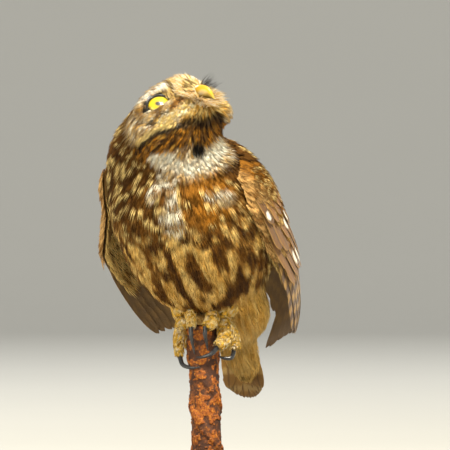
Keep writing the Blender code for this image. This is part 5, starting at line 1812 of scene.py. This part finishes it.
def steel_material(name):
    """Brushed steel: level brush marks as noise squeezed up the pin."""
    made = Finish(name, 0.3, metallic=1.0)
    brushed = made.noise(made.stretched((1.0, 1.0, 30.0)), 120.0)
    made.feed("Base Color", made.ramp(brushed, (0.3, (0.62, 0.62, 0.61)), (0.7, (0.78, 0.78, 0.77))))
    made.feed("Roughness", made.math("MULTIPLY_ADD", brushed, 0.3, 0.18))
    made.bump(brushed, 0.15, 0.0002)
    return made.material


# The coat: where each kind of feather grows


RUFFLE_PLACE, RUFFLE_RADIUS, RUFFLE_HEIGHT = (0.0, 21.0, 14.0), 8.0, 3.8


def gaze_radius(points, side):
    """Distance of points from one eye's axis, and how far out along it they are."""
    axis = eye_frame(side)[0]
    gap = points - EYES[side]
    out = gap @ axis
    return np.linalg.norm(gap - out[:, None] * axis, axis=-1), out


def on_head(points):
    local = head_places(points)
    near = np.linalg.norm(local - np.array([-1.0, 0.0, 0.0]), axis=-1) < 27.0
    return near | ((local[:, 0] - 0.35 * local[:, 2] > -10.0) & (np.linalg.norm(local, axis=-1) < 31.5))


def on_face(points):
    """The face: in front of a slanting line over the brows, with eyes and bill left bare."""
    local = head_places(points)
    front = (local[:, 0] - 0.25 * local[:, 2] > -9.0) & (local[:, 2] - 0.15 * local[:, 0] < 13.5)
    bill = (local[:, 0] > 19.0) & (np.abs(local[:, 1]) < 2.6) & (np.abs(local[:, 2] + 5.5) < 5.0)
    bare = np.zeros(len(points), bool)
    for side in (1, -1):
        radius, out = gaze_radius(points, side)
        bare |= (radius < 8.0) & (out > -9.0)
    return on_head(points) & front & ~bill & ~bare


def ruffled(points):
    """How much higher the loose feathers behind the cheeks end: a bell curve about one place on each side."""
    local = head_places(points)
    gap = np.stack([local[:, 0], np.abs(local[:, 1]), local[:, 2]], -1) - np.array(RUFFLE_PLACE)
    return RUFFLE_HEIGHT * np.exp(-np.square(np.linalg.norm(gap, axis=-1) / RUFFLE_RADIUS))


def under_wing(points):
    along, around = body_places(points)
    angle = np.abs(around) - 90.0
    return (along < 16.0) & (along > -58.0) & (angle > 4.0) & (angle < 58.0)


def build_coat(skin, finish, rng):
    """All the feathers on the skin: body, crown, face and the soft cone under the tail."""
    fan, small_fan, brush = fan_plan(21, 150, 0.55), fan_plan(15, 145, 0.55), brush_plan(8)
    body = thinned(*scattered(skin, 40000, rng, lambda p: ~on_head(p) & ~under_wing(p)), 2.7)
    along, around = body_places(body[0])
    vent = along < -34.0
    regions = {
        "coat_breast": ~vent & (along > 14.0) & (around > -25.0) & (around < 120.0),
        "coat_nape": ~vent & (along > 14.0) & ((around <= -25.0) | (around >= 120.0)),
        "coat_belly": ~vent & (along <= 14.0) & (np.abs(around) < 60.0),
        "coat_back": ~vent & (along <= 14.0) & (np.abs(around) >= 60.0),
    }
    for name, chosen in regions.items():
        add_tufts(name, finish, body[0][chosen], body[1][chosen], fan, 12.5, 3.1, 0.25,
                  (-2.7, 0.0), rng, sway=5.0, ragged=0.045, camber=0.14)
    soft = body[0][vent], body[1][vent]
    add_tufts("coat_vent", finish, *soft, fan_plan(23, 140, 0.6), 16.0, 3.4, 0.27, (-2.7, 0.1), rng,
              sway=6.0, ragged=0.05, camber=0.14)
    crown = thinned(*scattered(skin, 50000, rng, lambda p: on_head(p) & ~on_face(p) & (
        np.minimum(gaze_radius(p, 1)[0], gaze_radius(p, -1)[0]) > 8.0) & (head_places(p)[:, 0] < 21.0)), 1.8)
    loose = ruffled(crown[0])
    add_tufts("coat_crown", finish, *crown, small_fan, 6.8 + 1.2 * loose, 1.8, 0.15,
              (-1.6, 0.1 + loose), rng)
    face = thinned(*scattered(skin, 90000, rng, on_face), 1.35)
    right = head_places(face[0])[:, 1] > 0.0
    for name, chosen in (("coat_face_right", right), ("coat_face_left", ~right)):
        loose = ruffled(face[0][chosen])
        add_tufts(name, finish, face[0][chosen], face[1][chosen], brush, 5.4 + 1.2 * loose, 0.72,
                  0.11, (-1.4, 0.1 + loose), rng, sway=9.0, ragged=0.08)


# The bird, its bar and its stand

chance = np.random.default_rng(SEED)
mottle = mottling()
coat_finish = mottled_material("coat_feather", mottle, 0.75, 1100.0, 0.35, 0.15, attribute="coat_colour")
vane_finish = vane_material("flight_feather")
lid_finish = mottled_material("lid_skin", mottle, 0.4, 1500.0, 0.5, 0.4, attribute="coat_colour", coat=0.25)
toe_finish = mottled_material("toe_skin", mottle, 0.6, 900.0, 0.5, 0.4, colour=(0.66, 0.54, 0.30))
claw_finish = horn_material("claw_horn")

skin = build_skin(coat_finish)
build_coat(skin, coat_finish, chance)
for word, side in (("right", 1), ("left", -1)):
    build_eye("eyeball_" + word, side, "eye_" + word, eye_material("iris_" + word))
    build_lids("lids_" + word, side, lid_finish)
    build_lid_coat("lid_coat_" + word, side, coat_finish, chance)
bill_finish = bill_material("bill_horn")
build_bill_half("bill_top", 1, 6, "bill_upper", bill_finish)
build_bill_half("bill_under", 2, 5, "bill_lower", bill_finish)
build_bristles(skin, coat_finish, chance)
build_whiskers(skin, coat_finish, chance)
build_wing("vanes_left", 1, vane_finish, coat_finish, chance)
build_wing("vanes_right", -1, vane_finish, coat_finish, chance)
build_tail(vane_finish, chance)
for word in ("right", "left"):
    build_foot(word, toe_finish, coat_finish, claw_finish, chance)
build_bar(rust_material("rusty_steel"))
build_stand(wood_material("stand_wood"), steel_material("stand_steel"))


# Studio: a pale bowl that is flat under the stand and curves up all round, soft lamps, and the long lens

BOWL_FLAT, BOWL_RADIUS, BOWL_HEIGHT = 5500.0, 2500.0, 3500.0
CAMERA_AWAY, CAMERA_LENS = 4.0, 640.0
AIM_X, AIM_Z = 8.8, 128.5


def build_bowl(finish, around=128):
    """Floor and backdrop in one: a flat disc, a quarter circle up and a wall, turned round the upright."""
    bend = np.linspace(0.0, np.pi / 2, 24)
    rim = [BOWL_FLAT + BOWL_RADIUS]
    r = np.concatenate([[1.0, 200.0, 1500.0], BOWL_FLAT + BOWL_RADIUS * np.sin(bend), rim])
    z = np.concatenate([[0.0, 0.0, 0.0], BOWL_RADIUS * (1.0 - np.cos(bend)), [BOWL_HEIGHT]])
    points = np.concatenate([spun(np.stack([r, z], -1), around).reshape(-1, 3), [[0.0, 0.0, 0.0]]])
    i = np.arange(around)
    hub = np.stack([i, (i + 1) % around, np.full(around, len(points) - 1)], -1)
    faces = np.concatenate([halved(grid_faces(len(r), around, closed_columns=True)), hub])
    mesh = bpy.data.meshes.new("studio_bowl")
    mesh.from_pydata((points * MM).tolist(), [], faces.tolist())
    mesh.flip_normals()
    mesh.shade_smooth()
    mesh.materials.append(finish)
    made = bpy.data.objects.new("studio_bowl", mesh)
    bpy.context.scene.collection.objects.link(made)


def add_lamp(name, place, aim, size, power, colour):
    data = bpy.data.lights.new(name, "AREA")
    data.shape = "DISK"
    data.size = size
    data.energy = power
    data.color = colour
    lamp = bpy.data.objects.new(name, data)
    bpy.context.scene.collection.objects.link(lamp)
    lamp.location = place
    lamp.rotation_euler = (Vector(aim) - Vector(place)).to_track_quat("-Z", "Y").to_euler()


def build_studio():
    pale = mottled_material("studio_pale", mottle, 0.9, 3.0, 0.03, 0.0, colour=(0.72, 0.72, 0.70))
    build_bowl(pale)
    middle = (0.0, 0.0, 0.13)
    add_lamp("key_lamp", (0.7, -1.3, 2.5), middle, 0.6, 125.0, (1.0, 0.925, 0.76))
    add_lamp("glint_lamp", (0.2, -0.9, 2.45), middle, 0.22, 6.0, (1.0, 1.0, 1.0))
    add_lamp("fill_lamp", (-1.8, -2.4, 0.9), middle, 1.6, 40.0, (1.0, 0.94, 0.81))
    add_lamp("back_lamp", (-1.3, 1.2, 2.0), middle, 0.8, 45.0, (1.0, 0.97, 0.92))
    add_lamp("backdrop_lamp", (0.0, 2.0, 3.2), (0.0, 7.0, 1.2), 2.0, 110.0, (1.0, 1.0, 1.0))
    world = bpy.data.worlds.new("studio_air")
    world.use_nodes = True
    world.node_tree.nodes["Background"].inputs["Color"].default_value = (1.0, 0.965, 0.91, 1.0)
    world.node_tree.nodes["Background"].inputs["Strength"].default_value = 0.5
    bpy.context.scene.world = world
    bpy.context.scene.view_settings.view_transform = "Standard"
    data = bpy.data.cameras.new("long_lens")
    data.lens = CAMERA_LENS
    data.clip_end = 60.0
    camera = bpy.data.objects.new("long_lens", data)
    camera.location = (AIM_X * MM, -CAMERA_AWAY, AIM_Z * MM)
    camera.rotation_euler = (math.pi / 2, 0.0, 0.0)
    bpy.context.scene.collection.objects.link(camera)
    bpy.context.scene.camera = camera


build_studio()
